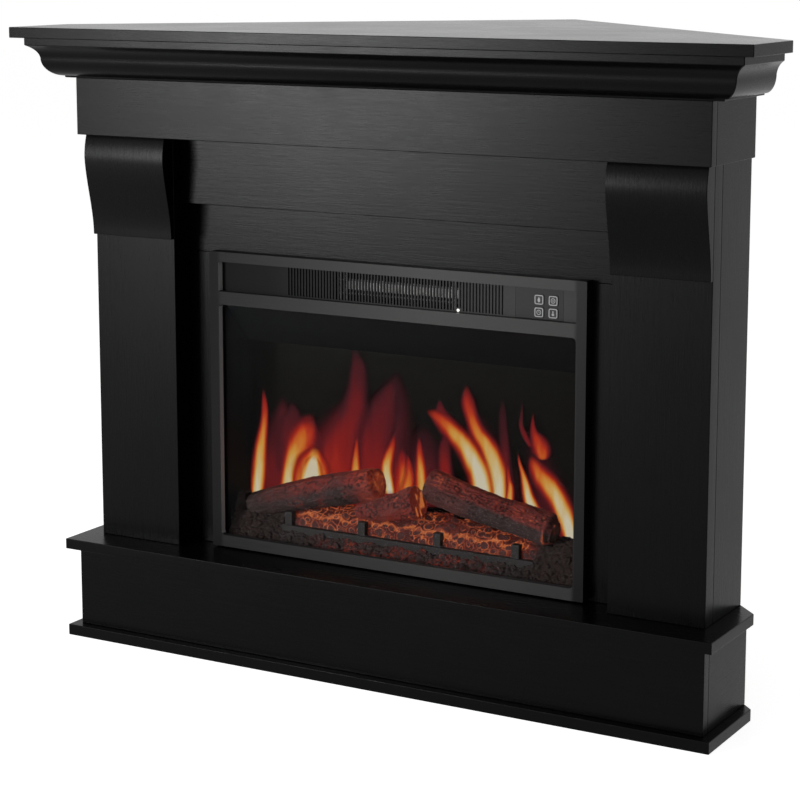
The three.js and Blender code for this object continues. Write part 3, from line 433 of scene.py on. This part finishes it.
def ripple(points, seed):
    """Smooth noise from -1 to 1 over cells one unit wide."""
    base = np.floor(points)
    part = points - base
    part = part * part * (3 - 2 * part)
    total = np.zeros(len(points))
    for corner in itertools.product((0, 1), repeat=3):
        weight = np.ones(len(points))
        for axis in range(3):
            weight = weight * (part[:, axis] if corner[axis] else 1 - part[:, axis])
        total += weight * hashed(base + np.array(corner), seed)
    return total * 2 - 1


def layered(points, octaves, seed):
    """Ripples of halving size and strength, added up."""
    total = np.zeros(len(points))
    for i in range(octaves):
        total += ripple(points * 2 ** i, seed + 17 * i) * 0.5 ** i
    return total


def stones(points, seed, flat=False):
    """Distance to the nearest scattered point, how much farther the next one is, and the nearest's number.

    Flat points, whose third part is 0, are scattered more evenly and on their own plane.
    """
    base = np.floor(points)
    near = np.full(len(points), 9.0)
    far = np.full(len(points), 9.0)
    mark = np.zeros(len(points))
    for offset in itertools.product((-1, 0, 1), repeat=3):
        cell = base + np.array(offset)
        place = cell + np.stack([hashed(cell, seed + k) for k in (1, 2, 3)], -1)
        if flat:
            place = 0.2 * (cell + 0.5) + 0.8 * place
            place[:, 2] = cell[:, 2]
        reach = np.linalg.norm(points - place, axis=1)
        closer = reach < near
        far = np.where(closer, near, np.minimum(far, reach))
        mark = np.where(closer, hashed(cell, seed + 4), mark)
        near = np.where(closer, reach, near)
    return near, far - near, mark


def step(value, low, high):
    """A smooth rise from 0 at low to 1 at high."""
    share = np.clip((value - low) / (high - low), 0, 1)
    return share * share * (3 - 2 * share)


# ---------------------------------------------------------------- the painted surround
GRAIN_X = ("foot_plate", "plinth_front", "hearth_shelf", "header_lower", "header_upper", "frieze_front",
           "frieze_soffit", "crown_front", "mantel_top")
GRAIN_Y = ("plinth_left", "plinth_right", "frieze_left", "frieze_right", "crown_left", "crown_right")
GRAIN_Z = ("pilaster_left", "pilaster_right", "side_panel_left", "side_panel_right", "corbel_left",
           "corbel_right", "stile_left", "stile_right")
for finish, names in (("paint_x", GRAIN_X), ("paint_y", GRAIN_Y), ("paint_z", GRAIN_Z)):
    for name in names:
        dressed(name, finish, 0.0009)

# the mantel's upper face is glossier than the rest
mantel = bpy.data.objects["mantel_top_dressed"].data
mantel.materials.append(MATERIALS["paint_top"])
for face in mantel.polygons:
    face.material_index = int(face.normal.z > 0.99)

for name in ("plinth_rib", "plinth_rear_post", "rear_post", "sub_top"):
    dressed(name, "raw_board", 0.0005, segments=1)

# ---------------------------------------------------------------- the firebox
dressed("trim_frame", "trim_metal", 0.0009, angle=40)
CARRIED = {
    "pane": ("front_glass",),
    "plastic": ("band_panel", "cord_gland", "blower_wheel"),
    "fascia": ("control_fascia",),
    "button": ("button_power", "button_flame", "button_heat", "button_timer"),
    "lamp": ("indicator_lamp",),
    "circuit": ("control_board", "light_board"),
    "black_sheet": ("casing_wrap", "casing_floor", "casing_back", "chamber_ceiling"),
    "screen": ("flame_screen",),
    "dull_zinc": ("heater_duct",),
    "zinc": ("fixing_bracket_left", "fixing_bracket_right", "blower_housing", "blower_motor",
             "flicker_rod", "flicker_motor", "flicker_bearing", "flame_reflector"),
    "wire": ("heating_coil",),
}
for finish, names in CARRIED.items():
    for name in names:
        nodes[name].data.materials.clear()
        nodes[name].data.materials.append(MATERIALS[finish])
dressed("grate", "iron", 0.0008)


# ---------------------------------------------------------------- logs
LOG_CELL = 0.0010
PLATE_WIDTH = 0.0044
PLATE_LENGTH = 0.019
LOGS = {
    # the axis's two ends and the radius at each, as in the CAD part, in millimetres:
    # x, y behind the trim's face, z over the window's bottom edge, r
    "log_left": ((-258.2, 53, 31, 20), (-44, 50, 93, 21)),
    "log_center": ((-76, 46, 46, 11), (22, 41, 79, 22.5)),
    "log_right": ((34, 54, 99, 20), (225.2, 47, 55, 19)),
}


def log_points(name):
    """Both ends of a log's axis in metres, each with its radius."""
    return [(Vector((x / 1000, TRIM_FACE + y / 1000, WINDOW_BOTTOM + z / 1000)), r / 1000)
            for x, y, z, r in LOGS[name]]


def remeshed(node, name, voxel):
    """The CAD node's surface as an even fine mesh: vertex places and faces."""
    piece = welded_copy(node, name + "_source")
    fine = piece.modifiers.new("fine", "REMESH")
    fine.mode = "VOXEL"
    fine.voxel_size = voxel
    evaluated = piece.evaluated_get(bpy.context.evaluated_depsgraph_get())
    mesh = evaluated.to_mesh()
    points = np.zeros(len(mesh.vertices) * 3)
    normals = np.zeros(len(mesh.vertices) * 3)
    mesh.vertices.foreach_get("co", points)
    mesh.vertices.foreach_get("normal", normals)
    faces = [tuple(p.vertices) for p in mesh.polygons]
    evaluated.to_mesh_clear()
    bpy.data.objects.remove(piece)
    return points.reshape(-1, 3), normals.reshape(-1, 3), faces


def wander(points, reach, size, seeds):
    """Moves points about by smooth noise, so that a pattern laid on them isn't straight."""
    return points + reach * np.stack([ripple(points / size, seed) for seed in seeds], -1)


def round_off(points, start, along, length, thick, end_wear, swell):
    """Wears the log's edges round at both ends and makes it a little thicker than its solid."""
    offset = points - start
    travel = offset @ along
    share = np.clip(travel / length, 0, 1)
    radial = offset - np.outer(travel, along)
    from_end = np.minimum(travel, length - travel)
    worn = 1 - end_wear * (1 - step(from_end, -0.002, 0.007)) ** 1.5
    wide = 1 + swell[0] + (swell[1] - swell[0]) * share
    points = start + np.outer(travel, along) + radial * (worn * wide)[:, None]
    points = points + np.outer(thick * (wide - 1), (0, -0.7, 0.9))
    out = radial / np.maximum(np.linalg.norm(radial, axis=1), 1e-6)[:, None]
    return points, share, out


def knot_place(points, start, along, length, knot):
    """The point of the bark nearest to a line that leaves the axis where the knot says, and at its angle."""
    around = np.array((0, -math.cos(knot[1]), math.sin(knot[1])))
    middle = start + along * length * knot[0]
    reach = (points - middle) @ around
    aside = np.linalg.norm(points - middle - np.outer(reach, around), axis=1)
    return points[np.argmin(np.where(reach > 0, aside, 1.0))]


def build_log(name, seed, end_wear, swell, knot):
    points, normals, faces = remeshed(name, name, LOG_CELL)
    (start, thick), (end, _) = log_points(name)
    axis = np.array(end - start)
    start = np.array(start)
    length = np.linalg.norm(axis)
    along = axis / length
    points, share, out = round_off(points, start, along, length, thick, end_wear, swell)
    # bark: long plates parted by wandering cracks
    bent = wander(points, 0.004, 0.018, (seed + 30, seed + 31, seed + 32))
    bent_travel = (bent - start) @ along
    bent_radial = bent - start - np.outer(bent_travel, along)
    field = bent_radial / PLATE_WIDTH + np.outer(bent_travel / PLATE_LENGTH, along)
    _, gap, mark = stones(field, seed)
    cap = step(np.abs(normals @ along), 0.75, 0.92) * step(np.abs(share - 0.5), 0.40, 0.47)
    crack = 0.8 * (1 - step(gap, 0.03, 0.28)) * step(ripple(points / 0.009, seed + 60), -0.7, 0.1)
    # dark specks in patches
    specks = step(ripple(points / 0.0026, seed + 61), -0.05, 0.45)
    pepper = specks * step(ripple(points / 0.016, seed + 62), -0.6, 0.2)
    pepper = 0.9 * pepper * (1 - cap)
    fibre = ripple(bent_radial / 0.0022 + np.outer(bent_travel / 0.014, along), seed + 9)
    lumps = ripple(points / 0.03, seed + 5)
    rise = 0.0009 * (1 - crack) - 0.0005 * pepper + 0.0004 * fibre + 0.0011 * lumps + 0.0005 * (mark - 0.5)
    split = ripple(points * np.array([1, 1, 0.25]) / 0.0042, seed + 50)
    rise = rise * (1 - cap) + cap * 0.0012 * split
    # a knot where a branch was: a boss inside a ring
    away = np.linalg.norm(points - knot_place(points, start, along, length, knot), axis=1)
    ring = np.exp(-((away - 0.0058) / 0.0012) ** 2) + 0.6 * np.exp(-((away - 0.0024) / 0.0008) ** 2)
    rise = rise * step(away, 0.004, 0.008) + 0.0012 * np.exp(-(away / 0.006) ** 2) - 0.0012 * ring
    crack = np.maximum(crack * step(away, 0.005, 0.008), np.clip(ring, 0, 1))
    points = points + normals * (rise - 0.0006)[:, None]
    return faces, dict(points=points, share=share, out=out, crack=crack, pepper=pepper, cap=cap,
                       fibre=fibre, split=split)


def finish_log(name, seed, end_wear, swell, knot, glow_of, red_of):
    faces, facts = build_log(name, seed, end_wear, swell, knot)
    glow = np.clip(glow_of(facts), 0, 1) * (1 - 0.8 * facts["pepper"])
    crack = np.maximum(0.8 * facts["crack"] * (1 - facts["cap"]), facts["pepper"])
    piece = mesh_piece(name + "_bark", facts["points"], faces, material="log",
                       attributes={"glow": glow, "red": np.clip(red_of(facts), 0, 1), "crack": crack})
    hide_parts(name)


def patchy(points, size, seed):
    """1 in some patches of about this size and 0 in the rest, with soft edges."""
    return step(layered(points / size, 2, seed), -0.15, 0.5)


def threads(f, width=0.2):
    """Thin lines that follow the fibres of the bark."""
    return 1 - step(np.abs(f["fibre"]), 0.0, width)


def left_glow(f):
    near_tip = step(f["share"], 0.78, 0.95)
    lines = 0.6 * f["crack"] * patchy(f["points"], 0.022, 70) * step(f["share"], 0.1, 0.4)
    upper = 0.22 * step(f["out"][:, 2], 0.1, 0.6) * step(f["share"], 0.25, 0.7)
    cut_end = f["cap"] * (0.06 + 0.14 * step(f["split"], 0.0, 0.5))
    return near_tip * (0.46 + 0.40 * threads(f) + cut_end) + (lines + upper) * (1 - near_tip)


def left_red(f):
    upper = step(f["out"][:, 2], 0.0, 0.4) * step(f["share"], 0.0, 0.4)
    return (0.45 + 0.5 * patchy(f["points"], 0.012, 71)) * upper + 0.5 * step(f["share"], 0.76, 0.9)


def center_glow(f):
    stripes = step(f["split"], 0.05, 0.55)
    face = f["cap"] * step(f["share"], 0.8, 0.95)
    low = step(-f["out"][:, 2], 0.0, 0.7)
    bark = 0.30 + 0.55 * threads(f) * patchy(f["points"], 0.02, 72) + 0.25 * low * f["crack"]
    return face * (0.42 + 0.58 * stripes) + (1 - face) * bark


def center_red(f):
    return 0.55 + 0.35 * patchy(f["points"], 0.018, 73)


def right_parts(f):
    """The upper side of the right log, and the lower side of its left end."""
    upper = step(f["out"][:, 2], 0.12, 0.34)
    return upper, (1 - step(f["share"], 0.25, 0.5)) * (1 - upper)


def right_glow(f):
    upper, low_left = right_parts(f)
    face = step(f["share"], 0.955, 0.975)
    stripes = step(f["split"], 0.2, 0.55)
    lines = threads(f, 0.25) * patchy(f["points"], 0.02, 74)
    return (1 - face) * (upper * (0.16 + 0.75 * lines) + 0.12 * low_left) + face * 0.85 * stripes


def right_red(f):
    upper, low_left = right_parts(f)
    return 0.85 * upper * (0.7 + 0.3 * patchy(f["points"], 0.025, 75)) + 0.04 + 0.22 * low_left


# for each log: a seed, how much its ends are worn, how much thicker it is at each end than the solid, and
# its knot as a share of the length and an angle over the level in radians
finish_log("log_left", 101, 0.45, (0.0, 0.15), (0.52, 0.45), left_glow, left_red)
finish_log("log_center", 202, 0.10, (0.0, 0.0), (0.55, 0.3), center_glow, center_red)
finish_log("log_right", 303, 0.30, (0.16, 0.12), (0.62, 0.7), right_glow, right_red)


# ---------------------------------------------------------------- ember bed
EMBER_CELL = 0.0011
STONE_SPACING = 0.0135
COAL_SPACING = 0.0062


def build_embers():
    """Dark stones in a glowing web behind the grate's bar, and loose coals before it and at both ends."""
    points, normals, faces = remeshed("ember_bed", "ember_bed", EMBER_CELL)
    bar_low, bar_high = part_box("grate")
    behind = step(points[:, 1], bar_low.y + 0.001, bar_low.y + 0.008)
    seen = np.clip(step(normals[:, 2], 0.0, 0.4) + step(-normals[:, 1], 0.2, 0.6), 0, 1)
    steep = step(-normals[:, 1], 0.4, 0.8) * behind
    inside = behind * step(points[:, 0], -0.200, -0.160) * (1 - step(points[:, 0], 0.175, 0.215))
    # the stones lie on the slope, so height counts with depth
    warp = wander(points, 0.0035, 0.012, (400, 401, 402))
    slope = np.stack([warp[:, 0], (warp[:, 1] + warp[:, 2]) * 0.85, 0 * warp[:, 0]], -1)
    near, gap, mark = stones(slope / STONE_SPACING, 410, True)
    _, gap_small, _ = stones(warp / COAL_SPACING, 430)
    size = 0.16 + 0.20 * mark
    stone = 1 - step(near, size, size + 0.07)
    ring = step(near, size + 0.01, size + 0.06) * (1 - step(near, size + 0.08, size + 0.16))
    web = (1 - step(gap, 0.02, 0.13)) * step(ripple(points / 0.02, 480), -0.5, 0.1)
    fine = 1 - step(gap_small, 0.02, 0.20)
    small = step(gap_small, 0.0, 0.5)
    rise = inside * (0.0024 * stone + 0.0009 * ring + 0.0007 * web - 0.0010) \
        + (1 - inside) * (0.0016 * small + 0.0022 * step(gap, 0.0, 0.45) - 0.0012)
    rise = rise + 0.0005 * ripple(points / 0.0022, 450)
    points = points + normals * (rise * seen * (1 - 0.6 * steep))[:, None]
    # the glow: the web, the rings round the stones, the edge along the bar, and seams in the front coals
    warm = step(layered(points / 0.03, 2, 460), -0.8, 0.2)
    edge = step(points[:, 1], bar_high.y - 0.002, bar_high.y) \
        * (1 - step(points[:, 1], bar_high.y + 0.001, bar_high.y + 0.003))
    lines = np.maximum(ring, np.maximum(0.9 * web, 0.15 * fine))
    lit = inside * (0.22 - 0.12 * stone + 0.95 * lines * (1 - stone) * (0.25 + 0.75 * warm) + 0.6 * edge)
    front = (1 - behind) * step(points[:, 0], -0.170, -0.090) * (1 - step(points[:, 0], 0.090, 0.170))
    seam = (1 - step(gap_small, 0.02, 0.24)) * step(layered(points / 0.012, 2, 470), -0.5, 0.3)
    lit = lit + front * 0.62 * seam
    red = np.clip(inside * (0.42 - 0.15 * stone) + front * (0.12 + 0.5 * seam), 0, 1)
    # crack here is the share of a darker colour: in the gaps between loose coals, over both end heaps, and
    # between the stones away from the glowing lines
    ends = 1 - step(points[:, 0], -0.235, -0.175) * (1 - step(points[:, 0], 0.175, 0.225))
    crack = (1 - inside) * np.clip(0.85 * (1 - small) + 0.65 * ends, 0, 1) \
        + inside * (1 - stone) * (1 - np.clip(lines, 0, 1)) * 0.85
    piece = mesh_piece("ember_bed_coals", points, faces, material="coal",
                       attributes={"glow": np.clip(lit, 0, 1) * seen, "red": red, "crack": crack})
    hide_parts("ember_bed")


build_embers()

# ---------------------------------------------------------------- flames on the screen
# For each flame: how many millimetres it stands in front of the screen, its heat at the foot and at the tip,
# how solid it is, and its middle line as x, z over the window's bottom edge and half width, in millimetres.
FLAMES = {
    "glow_left": (1.0, 0.46, 0.20, 0.78, (
        (-232, 30, 34), (-232, 85, 36), (-226, 120, 30), (-222, 160, 22), (-222, 196, 4))),
    "glow_middle": (1.0, 0.60, 0.22, 0.85, (
        (-140, 40, 60), (-138, 100, 66), (-122, 140, 48), (-106, 180, 30), (-98, 225, 4))),
    "glow_purple": (1.1, 0.50, 0.10, 0.82, (
        (-60, 60, 56), (-58, 120, 52), (-48, 170, 44), (-38, 215, 26), (-32, 252, 3))),
    "glow_centre": (1.0, 0.36, 0.08, 0.7, (
        (20, 60, 50), (14, 110, 44), (10, 145, 30), (6, 180, 4))),
    "glow_tongues": (1.0, 0.38, 0.06, 0.7, (
        (122, 50, 42), (118, 110, 38), (104, 150, 32), (92, 185, 18), (84, 212, 3))),
    "glow_right": (1.0, 0.34, 0.05, 0.6, (
        (214, 30, 40), (206, 80, 40), (192, 125, 28), (182, 165, 18), (176, 205, 3))),
    "slim_left": (2.6, 1.0, 0.50, 1.0, (
        (-267, 40, 9.5), (-263, 79, 10.4), (-259, 116, 8.8), (-253, 153, 5.9), (-252, 178, 4.4),
        (-255, 204, 1.2))),
    "second": (2.7, 0.98, 0.56, 1.0, (
        (-215, 55, 11), (-211, 86, 10), (-204, 110, 13), (-191, 130, 20), (-178, 148, 17),
        (-168, 162, 5))),
    "second_halo": (1.7, 0.62, 0.44, 0.9, (
        (-204, 60, 18), (-200, 95, 24), (-192, 126, 25), (-181, 152, 17), (-171, 174, 3))),
    "second_ghost": (1.8, 0.42, 0.14, 0.85, (
        (-212, 80, 14), (-210, 110, 16.9), (-210, 144, 16.9), (-204, 166, 11.8), (-205, 178, 6.2),
        (-207, 188, 1.4))),
    "blob": (3.2, 1.10, 0.70, 1.0, (
        (-178, 48, 20), (-173, 78, 25), (-169, 102, 22), (-165, 126, 6))),
    "blob_core": (3.6, 1.3, 1.0, 0.9, (
        (-177, 52, 13), (-173, 76, 16), (-170, 98, 12), (-167, 114, 3))),
    "tall": (2.2, 0.60, 0.14, 0.95, (
        (-141, 60, 36), (-137, 82, 38), (-129, 114, 31.5), (-120, 144, 24.1), (-107, 174, 17.4),
        (-100, 199, 15.8), (-96, 223, 13), (-95, 247, 10.3), (-99, 263, 6), (-104, 279, 1.1))),
    "tall_inner": (3.0, 0.86, 0.56, 0.85, (
        (-100, 84, 9.3), (-99, 112, 6.5), (-98, 132, 3.6), (-97, 148, 1.1))),
    "purple": (2.0, 0.52, 0.12, 0.9, (
        (-74, 80, 28), (-72, 107, 28), (-69, 140, 24.7), (-61, 170, 21.5), (-53, 194, 18),
        (-44, 214, 12), (-36, 229, 5.3), (-33, 246, 1.1))),
    "purple_side": (2.3, 0.34, 0.05, 0.8, (
        (-36, 120, 9), (-34, 144, 7.5), (-30, 173, 4.8), (-28, 202, 3.7), (-26, 223, 1.3))),
    "slim_mid": (3.1, 1.04, 0.50, 1.0, (
        (-44, 72, 7.5), (-49, 105, 8), (-46, 124, 7.5), (-40, 141, 5.5), (-36, 160, 1.3))),
    "low_mid": (2.6, 0.74, 0.38, 0.95, (
        (-22, 70, 15.9), (-22, 108, 12.7), (-24, 124, 8), (-24, 140, 2.1))),
    "gap_left": (2.9, 0.82, 0.50, 0.95, (
        (-18, 72, 11), (-12, 98, 8), (-13, 114, 5.8), (-16, 132, 1.3))),
    "gap_right": (3.0, 0.88, 0.50, 1.0, (
        (8, 70, 10.5), (6, 105, 8.7), (5, 126, 6.6), (4, 142, 4.5), (3, 160, 1.1))),
    "faint_stub": (2.1, 0.60, 0.28, 0.7, (
        (46, 95, 9.9), (43, 130, 8.8), (43, 149, 7.3), (43, 168, 2.1))),
    "big_left": (3.3, 1.06, 0.54, 1.0, (
        (106, 66, 15.8), (99, 112, 14.8), (88, 135, 14.3), (74, 155, 13.4), (56, 171, 12.4),
        (41, 184, 10.9), (28, 192, 7.3), (13, 197, 1.3))),
    "big_left_tip": (2.4, 0.66, 0.20, 0.9, (
        (50, 172, 10.4), (39, 192, 8.8), (36, 204, 5.2), (35, 216, 1))),
    "big_right": (3.1, 1.06, 0.40, 1.0, (
        (129, 62, 9.1), (127, 104, 12.6), (121, 132, 13.7), (110, 156, 12.2), (96, 173, 10.2),
        (86, 193, 8.7), (80, 213, 9), (78, 227, 6.2), (77, 242, 1))),
    "faint_reed": (1.9, 0.34, 0.08, 0.7, (
        (140, 100, 8), (136, 155, 6.6), (133, 182, 6.1), (132, 205, 4.5), (132, 227, 1.3))),
    "slim_a": (3.2, 0.92, 0.50, 1.0, (
        (142, 64, 6.5), (145, 101, 5), (143, 115, 3.3), (141, 136, 1))),
    "slim_b": (3.3, 1.06, 0.50, 1.0, (
        (190, 52, 13), (174, 91, 8), (169, 109, 6.2), (164, 126, 3.7), (159, 140, 2), (156, 155, 0.8))),
    "right": (3.4, 1.04, 0.56, 1.0, (
        (243, 34, 10.7), (225, 80, 12.2), (215, 99, 13.2), (202, 115, 13.8), (190, 127, 12.4),
        (181, 140, 8.4), (175, 153, 3))),
    "right_curl": (2.7, 0.74, 0.36, 1.0, (
        (193, 148, 5.4), (192, 159, 11.4), (186, 172, 10.4), (180, 183, 5.5), (178, 196, 2.5),
        (179, 214, 0.7))),
    "right_curl_b": (2.5, 0.50, 0.20, 0.85, (
        (175, 164, 2.5), (167, 177, 3.7), (160, 192, 3), (161, 206, 1.8), (162, 228, 0.7))),
}


def smooth_line(points, count):
    """Points along a smooth curve through the given ones, evenly spread by their number."""
    given = np.array(points, float)
    padded = np.vstack([2 * given[0] - given[1], given, 2 * given[-1] - given[-2]])
    made = []
    for t in np.linspace(0, len(given) - 1, count):
        i = min(int(t), len(given) - 2)
        u = t - i
        a, b, c, d = padded[i:i + 4]
        made.append(0.5 * (2 * b + (c - a) * u + (2 * a - 5 * b + 4 * c - d) * u * u
                           + (3 * b - a - 3 * c + d) * u ** 3))
    return np.array(made)


def build_flame(name, ahead, foot_heat, tip_heat, solidity, line):
    """A thin lens of light along its middle line, hottest there and see-through at its edge and its tip."""
    rows, columns = 44, 15
    thickness = 0.00035
    # a glow is a faint wide flame that fades from its middle on and cools evenly
    faint = name.startswith("glow")
    widening = 1.15 if faint else 1.55
    edge_start = 0.05 if faint else 0.36
    edge_cooling = 0.3 if faint else 0.56
    rising = 1.0 if faint else 1.25
    route = smooth_line(line, rows)
    route[:, 2] = np.maximum(route[:, 2], 0.4)
    tangent = np.gradient(route[:, :2], axis=0)
    tangent /= np.linalg.norm(tangent, axis=1)[:, None]
    side = np.stack([tangent[:, 1], -tangent[:, 0]], -1)
    plane = screen_low.y - ahead / 1000
    points, heat, show = [], [], []
    for layer in (-1, 1):
        for i in range(rows):
            v = i / (rows - 1)
            base = foot_heat + (tip_heat - foot_heat) * v ** rising
            fade = float(step(1 - v, 0.0, 0.22)) * min(1.0, v / 0.06 + 0.25)
            for j in range(columns):
                u = 2 * j / (columns - 1) - 1
                x, z = route[i, :2] + side[i] * u * (route[i, 2] * widening)
                y = plane + layer * thickness * (1 - u * u) - 0.0001 * layer
                points.append((x / 1000, y, WINDOW_BOTTOM + z / 1000))
                heat.append(base * (1 - edge_cooling * float(step(abs(u), 0.12, 1.0))))
                show.append(0.94 * solidity * fade * (1 - float(step(abs(u), edge_start, 1.0))))
    faces = []
    for layer in (0, 1):
        for i in range(rows - 1):
            for j in range(columns - 1):
                a = layer * rows * columns + i * columns + j
                quad = (a, a + 1, a + columns + 1, a + columns)
                faces.append(quad if layer == 0 else quad[::-1])
    mesh_piece("flame_" + name, points, faces, material="flame",
               attributes={"warmth": heat, "show": show})


for flame_name, facts in FLAMES.items():
    build_flame(flame_name, *facts)


# ---------------------------------------------------------------- marks on the buttons
def ribbon(points, width, closed):
    """A flat band of even width along points in the plane of the button's face, as four-cornered strips."""
    line = [Vector(p) for p in points]
    count = len(line)
    left, right = [], []
    for i, point in enumerate(line):
        before = line[(i - 1) % count] if closed or i else point
        after = line[(i + 1) % count] if closed or i < count - 1 else point
        along = (after - before).normalized()
        across = Vector((-along.y, along.x)) * width / 2
        left.append(point + across)
        right.append(point - across)
    return [(left[i], right[i], right[(i + 1) % count], left[(i + 1) % count])
            for i in range(count if closed else count - 1)]


def rounded_square(half, corner):
    """The outline of a square with round corners."""
    steps = 6
    made = []
    for quarter, (right, up) in enumerate(((1, 1), (-1, 1), (-1, -1), (1, -1))):
        centre = (half - corner) * Vector((right, up))
        for k in range(steps + 1):
            angle = math.pi / 2 * (quarter + k / steps)
            made.append(centre + corner * Vector((math.cos(angle), math.sin(angle))))
    return made


def circle(radius, steps, centre=(0, 0)):
    turns = [2 * math.pi * k / steps for k in range(steps)]
    return [Vector(centre) + radius * Vector((math.cos(a), math.sin(a))) for a in turns]


def drop_shape(size):
    """A flame's outline: round below, with a point above."""
    steps = 24
    made = []
    for k in range(steps):
        a = 2 * math.pi * k / steps
        lift = max(0.0, math.sin(a))
        half_width = 0.62 * size * (1 - 0.75 * lift ** 1.4)
        made.append(Vector((half_width * math.cos(a), 1.15 * size * math.sin(a))))
    return made


def mark_piece(name, node, strips, fills=()):
    """Raised print on a button: bands and filled outlines, a tenth of a millimetre thick."""
    low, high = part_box(node)
    centre_x, centre_z = (low.x + high.x) / 2, (low.z + high.z) / 2
    front, back = low.y - 0.00010, low.y + 0.00002
    points, faces = [], []
    for outline in [*strips, *fills]:
        first = len(points)
        count = len(outline)
        for y in (front, back):
            points += [(centre_x + p[0] / 1000, y, centre_z + p[1] / 1000) for p in outline]
        faces.append(tuple(range(first, first + count)))
        faces.append(tuple(range(first + 2 * count - 1, first + count - 1, -1)))
        for k in range(count):
            after = (k + 1) % count
            faces.append((first + after, first + k, first + count + k, first + count + after))
    piece = mesh_piece(name, points, faces, body=body_of(node), material="icon", smooth=False)
    sheet = bmesh.new()
    sheet.from_mesh(piece.data)
    bmesh.ops.recalc_face_normals(sheet, faces=sheet.faces)
    sheet.to_mesh(piece.data)
    sheet.free()


def build_marks():
    """A frame on each button, with a flame, a ring with an angle in it, a clock and a thermometer."""
    ring = ribbon(rounded_square(5.6, 2.0), 1.15, True)
    mark_piece("mark_flame", "button_power", ring, [drop_shape(3.0)])
    dial = ribbon(circle(2.9, 22), 0.8, True)
    angle = ribbon([(-1.4, 0.7), (0, -1.0), (1.4, 0.7)], 0.8, False)
    mark_piece("mark_mode", "button_flame", ring + dial, angle)
    hands = ribbon([(0, 1.7), (0, 0), (1.2, -0.9)], 0.7, False)
    mark_piece("mark_timer", "button_heat", ring + dial, hands)
    stem = ribbon([(0, 3.1), (0, -0.8)], 1.5, False)
    mark_piece("mark_heat", "button_timer", ring + stem, [circle(1.75, 16, (0, -1.5))])


build_marks()


# ---------------------------------------------------------------- floor, light and camera
def seen_directly(tree):
    """1 for what the camera sees, straight, in a reflection or through glass, and 0 for the light cast."""
    rays = put(tree, "ShaderNodeLightPath").outputs
    seen = maths(tree, "MAXIMUM", rays["Is Camera Ray"], rays["Is Glossy Ray"])
    return maths(tree, "MAXIMUM", seen, rays["Is Transmission Ray"])


def build_stage():
    """A pale floor and a white studio. They look white, and add little light to the object."""
    reach = 14.0
    level = -0.0002
    floor = bpy.data.meshes.new("floor")
    floor.from_pydata([(-reach, -reach, level), (reach, -reach, level), (reach, reach, level),
                       (-reach, reach, level)], [], [(0, 1, 2, 3)])
    piece = bpy.data.objects.new("floor", floor)
    scene.collection.objects.link(piece)
    made, tree, shader = new_material("floor_paint", Base_Color=(0.62, 0.62, 0.62, 1), Roughness=0.9,
                                      Specular_IOR_Level=0.0)
    lift = maths(tree, "MULTIPLY", seen_directly(tree), 0.84)
    white = put(tree, "ShaderNodeEmission", {"Color": (1, 1, 1, 1), "Strength": lift})
    total = put(tree, "ShaderNodeAddShader", {0: shader.outputs[0], 1: white.outputs[0]})
    tree.links.new(total.outputs[0], tree.nodes["Material Output"].inputs["Surface"])
    floor.materials.append(made)

    world = bpy.data.worlds.new("studio")
    scene.world = world
    world.use_nodes = True
    air = world.node_tree
    sky = air.nodes["Background"]
    sky.inputs["Color"].default_value = (1, 1, 1, 1)
    air.links.new(spread(air, seen_directly(air), 0.0, 1.0, 0.25, 1.0), sky.inputs["Strength"])


def softbox(name, place, target, wide, tall, strength):
    """A soft rectangular lamp turned to a target point. Its light grows with its strength and its area."""
    lamp = bpy.data.lights.new(name, "AREA")
    lamp.shape = "RECTANGLE"
    lamp.size = wide
    lamp.size_y = tall
    lamp.energy = strength * math.pi * lamp.size * lamp.size_y
    piece = bpy.data.objects.new(name, lamp)
    scene.collection.objects.link(piece)
    piece.location = place
    piece.rotation_mode = "QUATERNION"
    piece.rotation_quaternion = (Vector(target) - Vector(place)).to_track_quat("-Z", "Y")


build_stage()
softbox("key_light", (-1.9, -3.3, 0.78), (0.0, 0.0, 0.75), 0.95, 0.9, 44.0)
softbox("fill_light", (2.6, -2.4, 1.9), (0.1, 0.0, 0.4), 1.2, 1.2, 0.8)
softbox("top_light", (0.2, -0.2, 3.4), (0.0, 0.0, 0.4), 2.4, 2.4, 0.9)

camera = bpy.data.cameras.new("photo_view")
camera_piece = bpy.data.objects.new("photo_view", camera)
scene.collection.objects.link(camera_piece)
camera.sensor_width = 36.0
camera.lens = 101.2
camera.shift_y = -0.10
camera.clip_start = 0.05
camera_piece.location = (1.492, -2.811, 0.997)
camera_piece.rotation_euler = (math.radians(90 - 9.34), 0.0, math.radians(29.77))
scene.camera = camera_piece

scene.view_settings.view_transform = "Standard"
